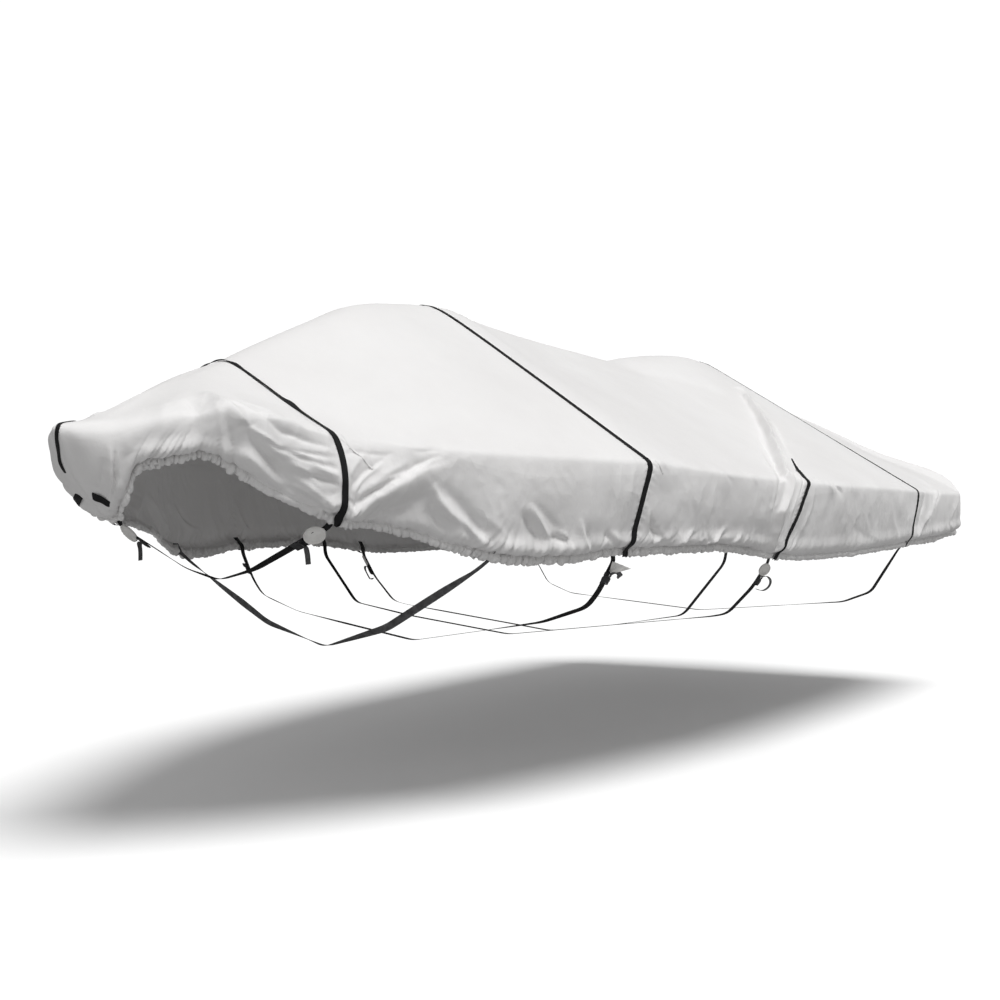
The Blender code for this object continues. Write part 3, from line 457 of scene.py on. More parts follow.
def base_surface(a, side):
    """The cover's sections at each a: points (columns, rows, 3), w and height over the hem."""
    row = {name: smooth(EDGE_KNOTS, TABLE[name], a)[:, None] for name in SECTION_COLUMNS}
    reach = 0.03
    near, far = np.maximum(a - reach, 0.0), np.minimum(a + reach, EDGE_END)
    ds, db = (smooth(EDGE_KNOTS, TABLE[name], far) - smooth(EDGE_KNOTS, TABLE[name], near)
              for name in ("edge_s", "edge_b"))
    out = np.stack((-db, ds, np.zeros_like(ds)), axis=-1) / np.hypot(ds, db)[:, None]
    out[a <= 0.0], out[a >= EDGE_END] = (-1.0, 0.0, 0.0), (1.0, 0.0, 0.0)
    hem = np.stack([row[f"hem_{k}"] for k in "sbh"], axis=-1)
    edge = np.stack([row[f"edge_{k}"] for k in "sbh"], axis=-1)
    ridge = np.stack((row["ridge_s"], 0 * row["ridge_s"], smooth(RIDGE_S, RIDGE_H, row["ridge_s"])),
                     axis=-1)
    belly = (hem + (edge - hem) * row["belly_up"][..., None]
             + out[:, None, :] * row["belly_out"][..., None])
    t = SHARES[SHARES <= 0.0][None, :, None] + 1.0
    skirt = (1 - t) ** 2 * hem + 2 * t * (1 - t) * belly + t * t * edge
    t = SHARES[SHARES > 0.0][None, :]
    blunt = row["blunt"]
    rise = 1.0 - (np.hypot(1.0 - t, blunt) - blunt) / (np.hypot(1.0, blunt) - blunt)
    top = edge + (ridge - edge) * t[..., None]
    top[..., 2] = edge[..., 2] + (ridge[..., 2] - edge[..., 2]) * rise
    points = np.concatenate((skirt, top), axis=1)
    run = np.concatenate((np.zeros((len(a), 1)),
                          np.cumsum(np.linalg.norm(np.diff(points, axis=1), axis=2), axis=1)), axis=1)
    w = run - run[:, SKIRT_ROWS:SKIRT_ROWS + 1]
    hollow = (1.0 - bell(a, 0.07)) * bell(a, CHEEK_REACH)
    for (passes, first, last), share in ((EDGE_PASSES, np.ones(len(a))), (CHEEK_PASSES, hollow)):
        rows = np.arange(first, last)
        share = share[:, None] * clamp(np.minimum(rows - first + 1, last - rows) / 8.0)
        for _ in range(passes):
            between = 0.5 * (points[:, first - 1:last - 1] + points[:, first + 1:last + 1])
            points[:, first:last] += 0.5 * share[..., None] * (between - points[:, first:last])
    swell = [size * bell(w - place, width)
             for size, place, width in (NOSE_OUT, NOSE_IN, NOSE_LOW, NOSE_RISE)]
    near = bell(a, NOSE_REACH)[:, None]
    points += ((swell[0] - swell[1] - swell[2]) * near)[..., None] * out[:, None, :]
    aft = clamp((a - STRAPS["stern"] + 0.02) / 0.22)[:, None]
    inward = clamp((STERN_HALF - points[..., 1]) / STERN_FADE) * clamp(1.0 + w / 0.30)
    drop = STERN_DROP * eased(aft) * eased(inward)
    points[..., 2] += swell[3] * near - drop
    points = points * (1.0, side, 1.0) - (CREST_S, 0.0, CREST)
    return points, w, run


def normals_of(points, side, a):
    """Outward directions of the grid, level across where the two sides join."""
    normal = np.cross(np.gradient(points, axis=0), np.gradient(points, axis=1)) * -side
    normal[a <= 1e-9, :, 1] = 0.0
    normal[a >= EDGE_END - 1e-9, :, 1] = 0.0
    normal[:, -1, 1] = 0.0
    return normal / np.maximum(np.linalg.norm(normal, axis=2, keepdims=True), 1e-12)


WANDERS = ((0.008, 0.11), (0.003, 0.04))   # how far a fold strays from its path, over what distance
FOLD_REACH = 4.5         # how many widths a fold is reckoned out to
FLANK_BLEND = 0.004      # across the path, from the one flank's width to the other's
FLANK_FALL = 1.5         # how steeply a fold falls off beyond its round crest


def wandered(values, a, w, seed):
    """The values, shifted by noise over a and w so that no fold runs quite straight."""
    for number, (size, span) in enumerate(WANDERS):
        values = values + size * value_noise(a / span, w / span, seed + number)
    return values


def fold_relief(a, w, folds):
    """Sum of the listed folds: round crests with longer flanks, fading at both ends."""
    warp_a, warp_w = wandered(a, a, w, 3), wandered(w, a, w, 5)
    relief = np.zeros_like(a)
    for row in folds:
        near, far, depth = (size / 1000.0 for size in row[:3])
        path = np.array(row[3:]) / 1000.0
        legs = np.linalg.norm(np.diff(path, axis=0), axis=1)
        reach = FOLD_REACH * max(near, far)
        low, high = path.min(axis=0) - reach, path.max(axis=0) + reach
        inside = (warp_a > low[0]) & (warp_a < high[0]) & (warp_w > low[1]) & (warp_w < high[1])
        pa, pw = warp_a[inside], warp_w[inside]
        nearest = np.full(pa.shape, 1e9)
        across, along = np.zeros_like(pa), np.zeros_like(pa)
        start = 0.0
        for point, end, leg in zip(path, path[1:], legs):
            da, dw = (end - point) / leg
            t = clamp(((pa - point[0]) * da + (pw - point[1]) * dw) / leg)
            ra, rw = pa - point[0] - t * leg * da, pw - point[1] - t * leg * dw
            distance = np.hypot(ra, rw)
            closer = distance < nearest
            nearest = np.where(closer, distance, nearest)
            across = np.where(closer, ra * dw - rw * da, across)
            along = np.where(closer, (start + t * leg) / legs.sum(), along)
            start += leg
        blend = below(-across, 0.0, FLANK_BLEND)
        width = near + (far - near) * blend
        crest = np.exp(-FLANK_FALL * (np.sqrt((nearest / width) ** 2 + 0.16) - 0.4))
        ends = np.sin(np.pi * (0.10 + 0.80 * along)) ** 0.8
        relief[inside] += depth * ends * crest
    return relief


STRAP_LEANS = {"front": 0.008, "mid": -0.030, "aft": 0.0, "stern": -0.050}   # a from edge to hem
STRAP_ENDS = [place + STRAP_LEANS[name] for name, place in STRAPS.items()]   # a at the hem
GROOVE_DEPTH, GROOVE_WIDTH = 0.0030, 0.024   # a strap's groove in the cloth
PUCKER_START = 0.016                         # from a strap's middle to its puckers
PUCKERS_AFT, PUCKERS_FORE = 0.022, 0.015     # how far they run on from there


def strap_relief(a, w):
    """The groove under each strap, and the puckers that it gathers along both its edges."""
    relief, calm = np.zeros_like(a), np.ones_like(a)
    for number, (name, place) in enumerate(STRAPS.items()):
        off = a - place - np.interp(w, (-0.25, 0.0), (STRAP_LEANS[name], 0.0))
        skirt = below(w, 0.004, 0.010)
        pressed = np.ones_like(skirt) if name != "aft" else skirt
        power, spacing = PUCKERS[name]
        phase = uneven(w + 0.45 * np.abs(off), spacing, 20 + 2 * number)
        height = lobes(phase, 0.9) * (0.75 + 0.5 * value_noise(w / 0.06, off / 0.1, 30 + number))
        aft = bell(np.maximum(off - PUCKER_START, 0.0), PUCKERS_AFT) * (off > 0.010)
        fore = 0.55 * bell(np.maximum(-off - PUCKER_START, 0.0), PUCKERS_FORE) * (off < -0.010)
        relief += power * skirt * (height * (aft + fore) + 0.25 * aft)
        calm *= 1.0 - 0.85 * np.exp(-(off / GROOVE_WIDTH) ** 4) * pressed
        relief -= GROOVE_DEPTH * bell(off, GROOVE_WIDTH) * pressed
    return relief, calm


def fan_relief(a, w):
    """Fine folds that spread out from each tie-down."""
    relief = np.zeros_like(a)
    for number, row in enumerate(FANS):
        fan = dict(zip(FAN_COLUMNS, row))
        da, dw = a - fan["a"], w - fan["w"]
        distance, turn = np.hypot(da, dw), np.arctan2(dw, da)
        wave = lobes(fan["count"] * turn / np.pi
                     + 0.8 * value_noise(distance / 0.09, turn * 2.0, 60 + number), 0.9)
        relief += (fan["height"] * wave * bell(distance, fan["reach"])
                   * clamp(distance / 0.05))
    return relief


SHORT_GATHERS = (0.032, 0.0115)      # spacing and height of the hem's gathers
LONG_GATHERS = (0.071, 0.0095)
HEM_ROLLS = (                        # height, its place over the hem, width
    (0.012, 0.062, 0.026), (-0.013, CASING_HEIGHT, 0.010), (-0.008, 0.0, 0.014))
FLARE_REACH = 0.11                   # how far up from the hem its flare fades out
HEM_STRENGTHS = (0.30, 1.7)          # the least and the most that the elastic gathers


def hem_strength(a):
    """How strongly the elastic gathers the hem at a."""
    least, most = HEM_STRENGTHS
    return np.minimum(least + sum(power * bell(a - place, reach) for place, reach, power in HEM_STRETCHES),
                      most)


def hem_relief(a, above, calm):
    """The cloth bellies over its gathered hem, and gathers run up from it."""
    strength = hem_strength(a)
    leaning = a + above * (0.9 * line_noise(a / 0.12, 42))
    short = lobes(uneven(leaning, SHORT_GATHERS[0], 40)) * np.exp(-(above / 0.050) ** 1.5)
    longer = lobes(uneven(leaning, LONG_GATHERS[0], 44)) * bell(above - 0.030, 0.060)
    roll = sum(height * bell(above - place, width) for height, place, width in HEM_ROLLS)
    flare = np.interp(a, *np.array(FLARES).T) * bell(above, FLARE_REACH)
    held = 0.35 + 0.65 * calm
    return (strength * (SHORT_GATHERS[1] * short + LONG_GATHERS[1] * longer) * held
            + roll * (0.25 + 0.75 * strength) * (0.6 + 0.4 * held) + flare)


TOP_WAVE = 0.0030        # height of the slow waves of the top
SKIRT_WAVE = 0.0042      # and of the skirt's
CRUMPLE = 0.0030         # height of the skirt's crumpled places


def broad_relief(points, a, w):
    """Slow unevenness: the top is nearly taut, and the skirt hangs in soft waves."""
    skirt = below(w, -0.05, 0.02)
    slow = value_noise(points[..., 0] / 0.42 + 7.0, points[..., 1] / 0.35 + 7.0, 50)
    waves = value_noise(a / 0.13, w / 0.45 + 9.0, 51) + 0.5 * value_noise(a / 0.055, w / 0.20, 52)
    crumple = ((1 - 1.6 * np.abs(value_noise(a / 0.045 + w / 0.07, w / 0.05, 53)))
               * clamp(value_noise(a / 0.21, w / 0.17, 54)))
    return TOP_WAVE * slow * (1 - skirt) + skirt * (SKIRT_WAVE * waves + CRUMPLE * crumple)


def lean(a, w):
    """How far aft the mesh leans at a and w, so that its columns follow the aft pleat."""
    share = np.interp(a, (STRAPS["mid"] + 0.07, 3.00, 3.30, STRAPS["stern"] - 0.04), (0.0, 1.0, 1.0, 0.0))
    lower, upper = np.clip(w, 0.0, LEAN_TURN), np.maximum(w - LEAN_TURN, 0.0)
    return share * (LEAN_SLOPE * lower + LEAN_EASED * upper)


class Cloth:
    """The dressed cloth on one side, on an upright grid or on one that leans with the aft pleat."""

    def __init__(self, side, a, leaning=False):
        self.side, self.a = side, a
        points, self.w, self.above = base_surface(a, side)
        spread = np.repeat(a[:, None], self.w.shape[1], axis=1)
        if leaning:
            spread = spread + lean(spread, self.w)
            for row in range(spread.shape[1]):
                for grid in (points[..., 0], points[..., 1], points[..., 2], self.w, self.above):
                    grid[:, row] = np.interp(spread[:, row], a, grid[:, row])
        self.spread = spread
        folds = (PORT_FOLDS if side < 0 else STARBOARD_FOLDS) + STERN_FOLDS
        pucker, calm = strap_relief(spread, self.w)
        relief = (fold_relief(spread, self.w, folds) + broad_relief(points, spread, self.w)
                  + fan_relief(spread, self.w)) * calm + pucker
        relief *= clamp((self.w[:, -1:] - self.w) / 0.25) ** 0.7
        relief += hem_relief(spread, self.above, calm)
        relief *= clamp(spread / STEM_FADE) * clamp((EDGE_END - spread) / 0.05)
        self.points = points + normals_of(points, side, a) * relief[..., None]
        self.normals = normals_of(self.points, side, a)

    def lay(self, a, w):
        """Points of the cloth and its outward directions at arrays of a and w."""
        a, w = np.broadcast_arrays(np.asarray(a, float), np.asarray(w, float))
        shape = a.shape
        a, w = np.clip(a.ravel(), 0.0, EDGE_END), w.ravel()
        i = np.clip(np.searchsorted(self.a, a) - 1, 0, len(self.a) - 2)
        share = ((a - self.a[i]) / (self.a[i + 1] - self.a[i]))[:, None]
        found = []
        for column in (i, i + 1):
            runs = self.w[column]
            j = np.clip((runs < w[:, None]).sum(axis=1) - 1, 0, runs.shape[1] - 2)
            n = np.arange(len(w))
            up = ((w - runs[n, j]) / (runs[n, j + 1] - runs[n, j]))[:, None]
            up = np.clip(up, -3.0, 1.0)
            found.append([grid[column, j] * (1 - up) + grid[column, j + 1] * up
                          for grid in (self.points, self.normals)])
        points, normals = (near * (1 - share) + far * share for near, far in zip(*found))
        return points.reshape(*shape, 3), unit(normals).reshape(*shape, 3)

    def hem_w(self, a):
        """w of the hem at a."""
        return np.interp(a, self.a, self.w[:, 0])

    def ridge_w(self, a):
        """w of the ridge at a."""
        return np.interp(a, self.a, self.w[:, -1])


def unit(vectors):
    """The vectors, each made one unit long."""
    return vectors / np.maximum(np.linalg.norm(vectors, axis=-1, keepdims=True), 1e-12)


PLACES = column_places()
CLOTHS = {side: Cloth(side, PLACES) for side in (-1, 1)}                    # what the straps lie on
SHELLS = {side: Cloth(side, PLACES, leaning=True) for side in (-1, 1)}      # what the cover is drawn from


# ---------------------------------------------------------------- materials
class Shader:
    """A Principled material with short helpers for its nodes."""

    def __init__(self, name, colour, roughness, **inputs):
        self.material = bpy.data.materials.new(name)
        self.material.use_nodes = True
        self.tree = self.material.node_tree
        self.main = self.tree.nodes["Principled BSDF"]
        self.main.inputs["Base Color"].default_value = (*colour, 1.0)
        self.main.inputs["Roughness"].default_value = roughness
        for key, value in inputs.items():
            self.main.inputs[key.replace("_", " ")].default_value = value

    def node(self, kind, **settings):
        """A new node; a setting is one of its properties or, failing that, an input's value."""
        node = self.tree.nodes.new(kind)
        for key, value in settings.items():
            if hasattr(node, key):
                setattr(node, key, value)
            else:
                node.inputs[key.replace("_", " ")].default_value = value
        return node

    def link(self, source, target):
        """Joins two sockets."""
        self.tree.links.new(source, target)

    def drive(self, name, source):
        """Links a source to the Principled shader's input of that name."""
        self.link(source, self.main.inputs[name])

    def coordinates(self, kind, scale=(1.0, 1.0, 1.0)):
        """Texture coordinates stretched by scale: kind is Object or UV."""
        source = self.node("ShaderNodeTexCoord")
        mapping = self.node("ShaderNodeMapping")
        mapping.inputs["Scale"].default_value = scale
        self.link(source.outputs[kind], mapping.inputs["Vector"])
        return mapping.outputs["Vector"]

    def noise(self, vector, scale, detail=3.0, roughness=0.55):
        """Noise from 0 to 1 over a vector."""
        node = self.node("ShaderNodeTexNoise", Scale=scale, Detail=detail, Roughness=roughness)
        self.link(vector, node.inputs["Vector"])
        return node.outputs["Fac"]

    def wave(self, vector, direction, scale, distortion, **settings):
        """Bands across the direction X or Y."""
        node = self.node("ShaderNodeTexWave", wave_type="BANDS", bands_direction=direction,
                         Scale=scale, Distortion=distortion, **settings)
        self.link(vector, node.inputs["Vector"])
        return node.outputs["Fac"]

    def fade(self, source, start, end, last):
        """1 where the source is start or less, and last where it is end or more."""
        node = self.node("ShaderNodeMapRange", From_Min=start, From_Max=end, To_Min=1.0, To_Max=last)
        self.link(source, node.inputs["Value"])
        return node.outputs["Result"]

    def ramp(self, source, *stops):
        """A colour ramp; stops are (position, grey or colour)."""
        node = self.node("ShaderNodeValToRGB")
        elements = node.color_ramp.elements
        while len(elements) < len(stops):
            elements.new(0.5)
        for element, (position, colour) in zip(elements, stops):
            element.position = position
            element.color = (*([colour] * 3 if isinstance(colour, float) else colour), 1.0)
        self.link(source, node.inputs["Fac"])
        return node.outputs["Color"]

    def maths(self, operation, first, second):
        """The operation on two sockets or numbers."""
        node = self.node("ShaderNodeMath", operation=operation)
        for socket, value in zip(node.inputs, (first, second)):
            if isinstance(value, (int, float)):
                socket.default_value = value
            else:
                self.link(value, socket)
        return node.outputs["Value"]

    def bump(self, heights):
        """Chained bumps: heights is a list of (height socket, strength, distance in metres)."""
        normal = None
        for height, strength, distance in heights:
            node = self.node("ShaderNodeBump", Strength=strength, Distance=distance)
            self.link(height, node.inputs["Height"])
            if normal is not None:
                self.link(normal, node.inputs["Normal"])
            normal = node.outputs["Normal"]
        self.drive("Normal", normal)


def cover_material():
    """Light grey coated cloth; UV runs round the cover and up from its hem, in metres."""
    shade = Shader("cover_cloth", (0.78, 0.775, 0.77), 0.72, Sheen_Weight=0.12, Sheen_Roughness=0.5)
    place = shade.coordinates("Object")
    cut = shade.coordinates("UV")
    cloud = shade.noise(place, 1.6, 4.0, 0.6)
    shade.drive("Base Color",
                shade.ramp(cloud, (0.30, (0.740, 0.729, 0.724)), (0.70, (0.800, 0.793, 0.789))))
    threads, weft = (shade.wave(cut, direction, 220.0, 0.6, Detail=1.0) for direction in "XY")
    weave = shade.maths("MULTIPLY", threads, weft)
    crumple = shade.noise(place, 22.0, 4.0, 0.55)
    skewed = shade.coordinates("Object", (1.0, 1.0, 0.55))
    swing = shade.maths("SUBTRACT", shade.noise(skewed, 7.5, 2.5, 0.5), 0.5)
    crease = shade.maths("ABSOLUTE", swing, 0.0)
    crease = shade.maths("MULTIPLY", shade.maths("SUBTRACT", 0.5, crease),
                         shade.ramp(shade.noise(place, 2.6, 2.0), (0.40, 0.1), (0.62, 1.0)))
    fine = shade.noise(place, 70.0, 3.0, 0.6)
    split = shade.node("ShaderNodeSeparateXYZ")
    shade.link(cut, split.inputs["Vector"])
    ruffle_place = shade.coordinates("UV", (1.0, 0.22, 1.0))
    ruffle = shade.noise(ruffle_place, 95.0, 2.0, 0.5)
    above = split.outputs["Y"]
    ruffle = shade.maths("MULTIPLY", ruffle, shade.fade(above, 0.0, 0.045, 0.0))
    crease = shade.maths("MULTIPLY", crease, shade.fade(above, 0.30, 0.42, 0.12))
    shade.bump([(ruffle, 0.9, 0.010), (crease, 0.9, 0.030), (crumple, 0.30, 0.006), (fine, 0.16, 0.0015),
                (weave, 0.12, 0.0004)])
    return shade.material


RIB_SCALE = 110.0        # of the bands that make the webbing's ribs


def webbing_material(name, colour):
    """Ribbed webbing; UV runs across (0 to its width) and along it in metres."""
    shade = Shader(name, colour, 0.62, Specular_IOR_Level=0.22, Sheen_Weight=0.0)
    cut = shade.coordinates("UV")
    ribs = shade.wave(cut, "Y", RIB_SCALE, 0.4, Detail=1.0)
    threads = shade.wave(cut, "X", 160.0, 0.8)
    wear = shade.noise(cut, 40.0, 3.0)
    dark, light = (tuple(c * k for c in colour) for k in (0.75, 1.7))
    shade.drive("Base Color", shade.ramp(wear, (0.35, dark), (0.75, light)))
    shade.bump([(ribs, 0.5, 0.0009), (threads, 0.3, 0.0004)])
    return shade.material


def pale_material():
    """The pads' and flaps' cloth, a little warmer than the cover's."""
    shade = Shader("pale_cloth", (0.80, 0.79, 0.77), 0.7, Sheen_Weight=0.15)
    place = shade.coordinates("Object")
    tone = shade.ramp(shade.noise(place, 30.0, 3.0), (0.3, (0.72, 0.71, 0.69)), (0.75, (0.84, 0.83, 0.81)))
    shade.drive("Base Color", tone)
    shade.bump([(shade.noise(place, 120.0, 4.0), 0.45, 0.002), (shade.noise(place, 600.0, 2.0), 0.3, 0.0004)])
    return shade.material


def buckle_material():
    """Black moulded plastic."""
    shade = Shader("buckle", (0.018, 0.018, 0.02), 0.36, Specular_IOR_Level=0.5)
    place = shade.coordinates("Object")
    grain = shade.noise(place, 900.0, 3.0)
    shade.drive("Roughness", shade.ramp(shade.noise(place, 60.0), (0.3, 0.30), (0.8, 0.46)))
    shade.bump([(grain, 0.2, 0.0002)])
    return shade.material


MATERIALS = {
    "cover_cloth": cover_material(),
    "pale_cloth": pale_material(),
    "webbing": webbing_material("webbing", (0.006, 0.006, 0.0065)),
    # a lighter copy of the black webbing: on under-strap b its grey is painted sheen from glancing light, and
    # on the tails it is their grey
    "grey_webbing": webbing_material("grey_webbing", (0.095, 0.095, 0.098)),
    "buckle": buckle_material(),
}


# ---------------------------------------------------------------- mesh helpers
def run_along(points):
    """The distance along a polyline to each of its points."""
    return np.concatenate(([0.0], np.cumsum(np.linalg.norm(np.diff(points, axis=0), axis=1))))


def grid_faces(columns, rows, flip=False, start=0):
    """Quads of a grid whose vertices are numbered from start, column by column."""
    i, j = np.meshgrid(np.arange(columns - 1), np.arange(rows - 1), indexing="ij")
    corner = start + i * rows + j
    faces = np.stack((corner, corner + rows, corner + rows + 1, corner + 1), axis=-1).reshape(-1, 4)
    return faces[:, ::-1] if flip else faces


def tube_faces(rings, sides, closed=False):
    """Quads round a tube of rings, joined at its ends if closed and capped there if not."""
    i, k = np.meshgrid(np.arange(rings if closed else rings - 1), np.arange(sides), indexing="ij")
    near, far, after = i * sides, (i + 1) % rings * sides, (k + 1) % sides
    faces = list(np.stack((near + k, near + after, far + after, far + k), axis=-1).reshape(-1, 4))
    if not closed:
        faces += [tuple(range(sides))[::-1], tuple((rings - 1) * sides + n for n in range(sides))]
    return faces


def add_object(name, data):
    """An object with the data, in the scene."""
    thing = bpy.data.objects.new(name, data)
    bpy.context.scene.collection.objects.link(thing)
    return thing


def new_object(name, vertices, faces, slot, uv=None, facing=None, merge=0.0):
    """A smooth mesh object; uv and facing (its shading direction) are given for each vertex.

    slot is a slot's name or, for what isn't part of the object, a material."""
    data = bpy.data.meshes.new(name)
    data.from_pydata(np.asarray(vertices).tolist(), [], [[int(n) for n in face] for face in faces])
    if uv is not None:
        layer = data.uv_layers.new(name="cut")
        index = np.zeros(len(data.loops), dtype=np.int32)
        data.loops.foreach_get("vertex_index", index)
        layer.data.foreach_set("uv", np.asarray(uv, float)[index].ravel())
    if facing is not None:
        data.attributes.new("facing", "FLOAT_VECTOR", "POINT").data.foreach_set(
            "vector", np.asarray(facing, float).ravel())
    mesh = bmesh.new()
    mesh.from_mesh(data)
    if merge:
        bmesh.ops.remove_doubles(mesh, verts=mesh.verts, dist=merge)
    bmesh.ops.recalc_face_normals(mesh, faces=mesh.faces)
    mesh.to_mesh(data)
    mesh.free()
    data.shade_smooth()
    if facing is not None:
        kept = np.zeros(3 * len(data.vertices))
        data.attributes["facing"].data.foreach_get("vector", kept)
        data.normals_split_custom_set_from_vertices(kept.reshape(-1, 3).tolist())
        data.attributes.remove(data.attributes["facing"])
    data.materials.append(MATERIALS[slot] if isinstance(slot, str) else slot)
    return add_object(name, data)


def dress(thing, slot, *nodes):
    """Attaches a piece to the root body and hides the CAD parts that it stands for."""
    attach(thing, "root")
    if nodes:
        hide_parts(*nodes)
    return thing


# ---------------------------------------------------------------- cover
LENGTHS = (   # name, from, to (a); they meet under the straps
    ("cover_bow", 0.0, STRAPS["front"]),
    ("cover_fore", STRAPS["front"], STRAPS["mid"]),
    ("cover_middle", STRAPS["mid"], STRAPS["stern"]),
    ("cover_stern", STRAPS["stern"], EDGE_END),
)
MERGE = 2e-5             # vertices closer than this, where the two sides meet, become one
CASING_STEP = 0.0030     # distance between the casing's rings
CASING_PRESS = 0.016     # how far round a strap it is pressed flat
CASING_RISE, BUNCH_RISE = 0.0062, 0.006       # how far out its gathers stand, and more where bunched
CASING_DIP, BUNCH_DIP = 0.0045, 0.007         # and how far they reach below the hem
WIDE_GATHER = 0.043      # between its wider gathers
CASING_PROFILE = (   # height over the hem, distance out from the cloth, share of the ruffles
    (0.0000, -0.0040, 0.0), (-0.0035, -0.0010, 0.3), (-0.0045, 0.0030, 0.8), (-0.0005, 0.0062, 1.0),
    (0.0060, 0.0072, 1.0), (0.0125, 0.0066, 1.0), (0.0180, 0.0046, 0.7), (0.0215, 0.0014, 0.3),
    (0.0220, -0.0035, 0.0), (0.0110, -0.0050, 0.0))


def make_cover():
    """The cloth in four lengths, each a thin closed shell over both sides."""
    for name, start, end in LENGTHS:
        first, last = (int(np.argmin(abs(PLACES - a))) for a in (start, end))
        vertices, faces, uv, facing = [], [], [], []
        for side in (-1, 1):
            cloth = SHELLS[side]
            points, normals = cloth.points[first:last + 1], cloth.normals[first:last + 1]
            columns, rows = points.shape[:2]
            size = columns * rows
            base = len(vertices) * size
            outer, inner = base, base + size
            faces += [grid_faces(columns, rows, side > 0, outer), grid_faces(columns, rows, side < 0, inner)]
            rims = [np.arange(columns) * rows]
            if start > 0.0:
                rims.append(np.arange(rows))
            if end < EDGE_END:
                rims.append((columns - 1) * rows + np.arange(rows))
            for rim in rims:
                corners = (outer + rim[:-1], outer + rim[1:], inner + rim[1:], inner + rim[:-1])
                faces.append(np.stack(corners, axis=-1))
            vertices += [points.reshape(-1, 3), (points - normals * CLOTH).reshape(-1, 3)]
            cut = np.stack((cloth.spread[first:last + 1] * -side, cloth.above[first:last + 1]), axis=-1)
            cut = cut.reshape(-1, 2)
            uv += [cut, cut]
            facing += [normals.reshape(-1, 3), -normals.reshape(-1, 3)]
        thing = new_object(name, np.concatenate(vertices), np.concatenate(faces), "cover_cloth",
                           np.concatenate(uv), np.concatenate(facing), merge=MERGE)
        dress(thing, "cover_cloth", "cover")


def make_casing():
    """The elastic hem: one gathered tube all the way round."""
    profile = np.array(CASING_PROFILE)
    count = int(EDGE_END / CASING_STEP)
    vertices, uv = [], []
    for side in (-1, 1):
        a = np.linspace(0.0, EDGE_END, count)
        if side > 0:
            a = a[-2:0:-1]
        cloth = CLOTHS[side]
        strength = (0.25 + hem_strength(a))[:, None]
        bunch = sum(size * bell(a - place, reach) for place, reach, size in BUNCHES)[:, None]
        pressed = 1.0 - 0.9 * sum(bell(a - place, CASING_PRESS) for place in STRAP_ENDS)[:, None]
        slant = 0.5 * line_noise(a / 0.06, 82)[:, None] * profile[None, :, 0]
        place = a[:, None] + slant
        phase = uneven(place, CASING_GATHER, 80 if side < 0 else 84)
        wide = lobes(uneven(place, WIDE_GATHER, 88 if side < 0 else 90), 0.9)
        size = 1.0 + 0.6 * line_noise(a / 0.025, 86)
        lobe = (0.75 * lobes(phase, 0.8) + 0.55 * wide) * size[:, None]
        lobe *= np.clip((a - 0.06) / 0.10, 0.1, 1.0)[:, None] * pressed
        lobe *= (profile[:, 2] * np.minimum(strength, 1.5))
        above = (profile[None, :, 0] * (0.95 + 0.2 * (strength - 0.7) + 0.8 * bunch)
                 - (CASING_DIP + BUNCH_DIP * bunch) * lobe * (profile[:, 0] < 0.003))
        along = np.broadcast_to(a[:, None], above.shape)
        points, facing = cloth.lay(along, cloth.hem_w(a)[:, None] + above)
        out = (profile[None, :, 1] * (0.9 + 0.2 * strength + 0.7 * bunch)
               + (CASING_RISE + BUNCH_RISE * bunch) * lobe)
        out = np.where(out > 0.0, out * (0.35 + 0.65 * pressed), out)
        vertices.append((points + facing * out[..., None]).reshape(-1, 3))
        uv.append(np.stack((along * -side, above), axis=-1).reshape(-1, 2))
    sides = len(profile)
    vertices = np.concatenate(vertices)
    thing = new_object("hem_casing", vertices, tube_faces(len(vertices) // sides, sides, closed=True),
                       "cover_cloth", np.concatenate(uv))
    return dress(thing, "cover_cloth", "cover")


# ---------------------------------------------------------------- straps on the cloth
BAND_PROFILE = np.array((   # share of the width, share of the thickness
    (-0.500, 0.25), (-0.485, 0.80), (-0.45, 1.0), (-0.15, 1.0), (0.15, 1.0), (0.45, 1.0),
    (0.485, 0.80), (0.500, 0.25), (0.46, 0.0), (0.0, 0.0), (-0.46, 0.0)))
BAND_MIDDLE = 4          # the profile point that a band's length is measured along
STATION = 0.006          # distance between a band's rings
STIFF_RISE = 0.015       # the most that a stiff band stands off a hollow in the cloth
HEM_OVERLAP = 0.003      # how far a strap runs past the hem
OVER_PATHS = {   # name: (a from the strap's own, w) from the skirt up; hem and ridge are added
    "front": ((0.008, -0.18), (0.0, 0.0), (-0.030, 0.08), (-0.052, 0.19), (-0.055, 0.33)),
    "mid": ((-0.030, -0.30), (-0.028, -0.14), (0.004, 0.0), (0.0, 0.15)),
    "stern": ((-0.050, -0.22), (-0.030, -0.12), (0.0, 0.0), (0.0, 0.20)),
}
LOOSE_WAVE, LOOSE_SPAN = 0.0075, 0.055   # height and length of the front strap's waves on top
AFT_PATH = (             # (a from the strap's own, w) from the skirt up to where the pleat hides it
    (0.0, -0.20), (0.0, -0.005), (0.12, 0.09), (0.33, 0.235), (0.39, 0.275))
AFT_TUCK = (0.235, 0.04, 0.008)   # from which w it sinks under the pleat, over what run, how deep
AFT_WIDTHS = (           # w, how much of the aft strap's width shows: the rest is under the pleat
    (-0.40, 0.027), (0.0, 0.027), (0.05, 0.017), (0.15, 0.011), (0.30, 0.007))
STEM_STRAP_WIDTH = 0.011
STEM_LINE = (            # w, a of the stem's strap: to port (-) and to starboard (+)
    (0.085, 0.0), (0.04, -0.004), (0.0, -0.016), (-0.04, -0.003), (-0.08, 0.013), (-0.15, 0.018))
STEM_STEP = 0.004        # distance between its rings
STEM_SINK = 0.007        # how deep its two ends are sunk in the cloth
BELT_PATH = ((0.098, -0.250), (0.072, -0.231), (0.046, -0.208), (0.022, -0.188), (0.0, -0.172))
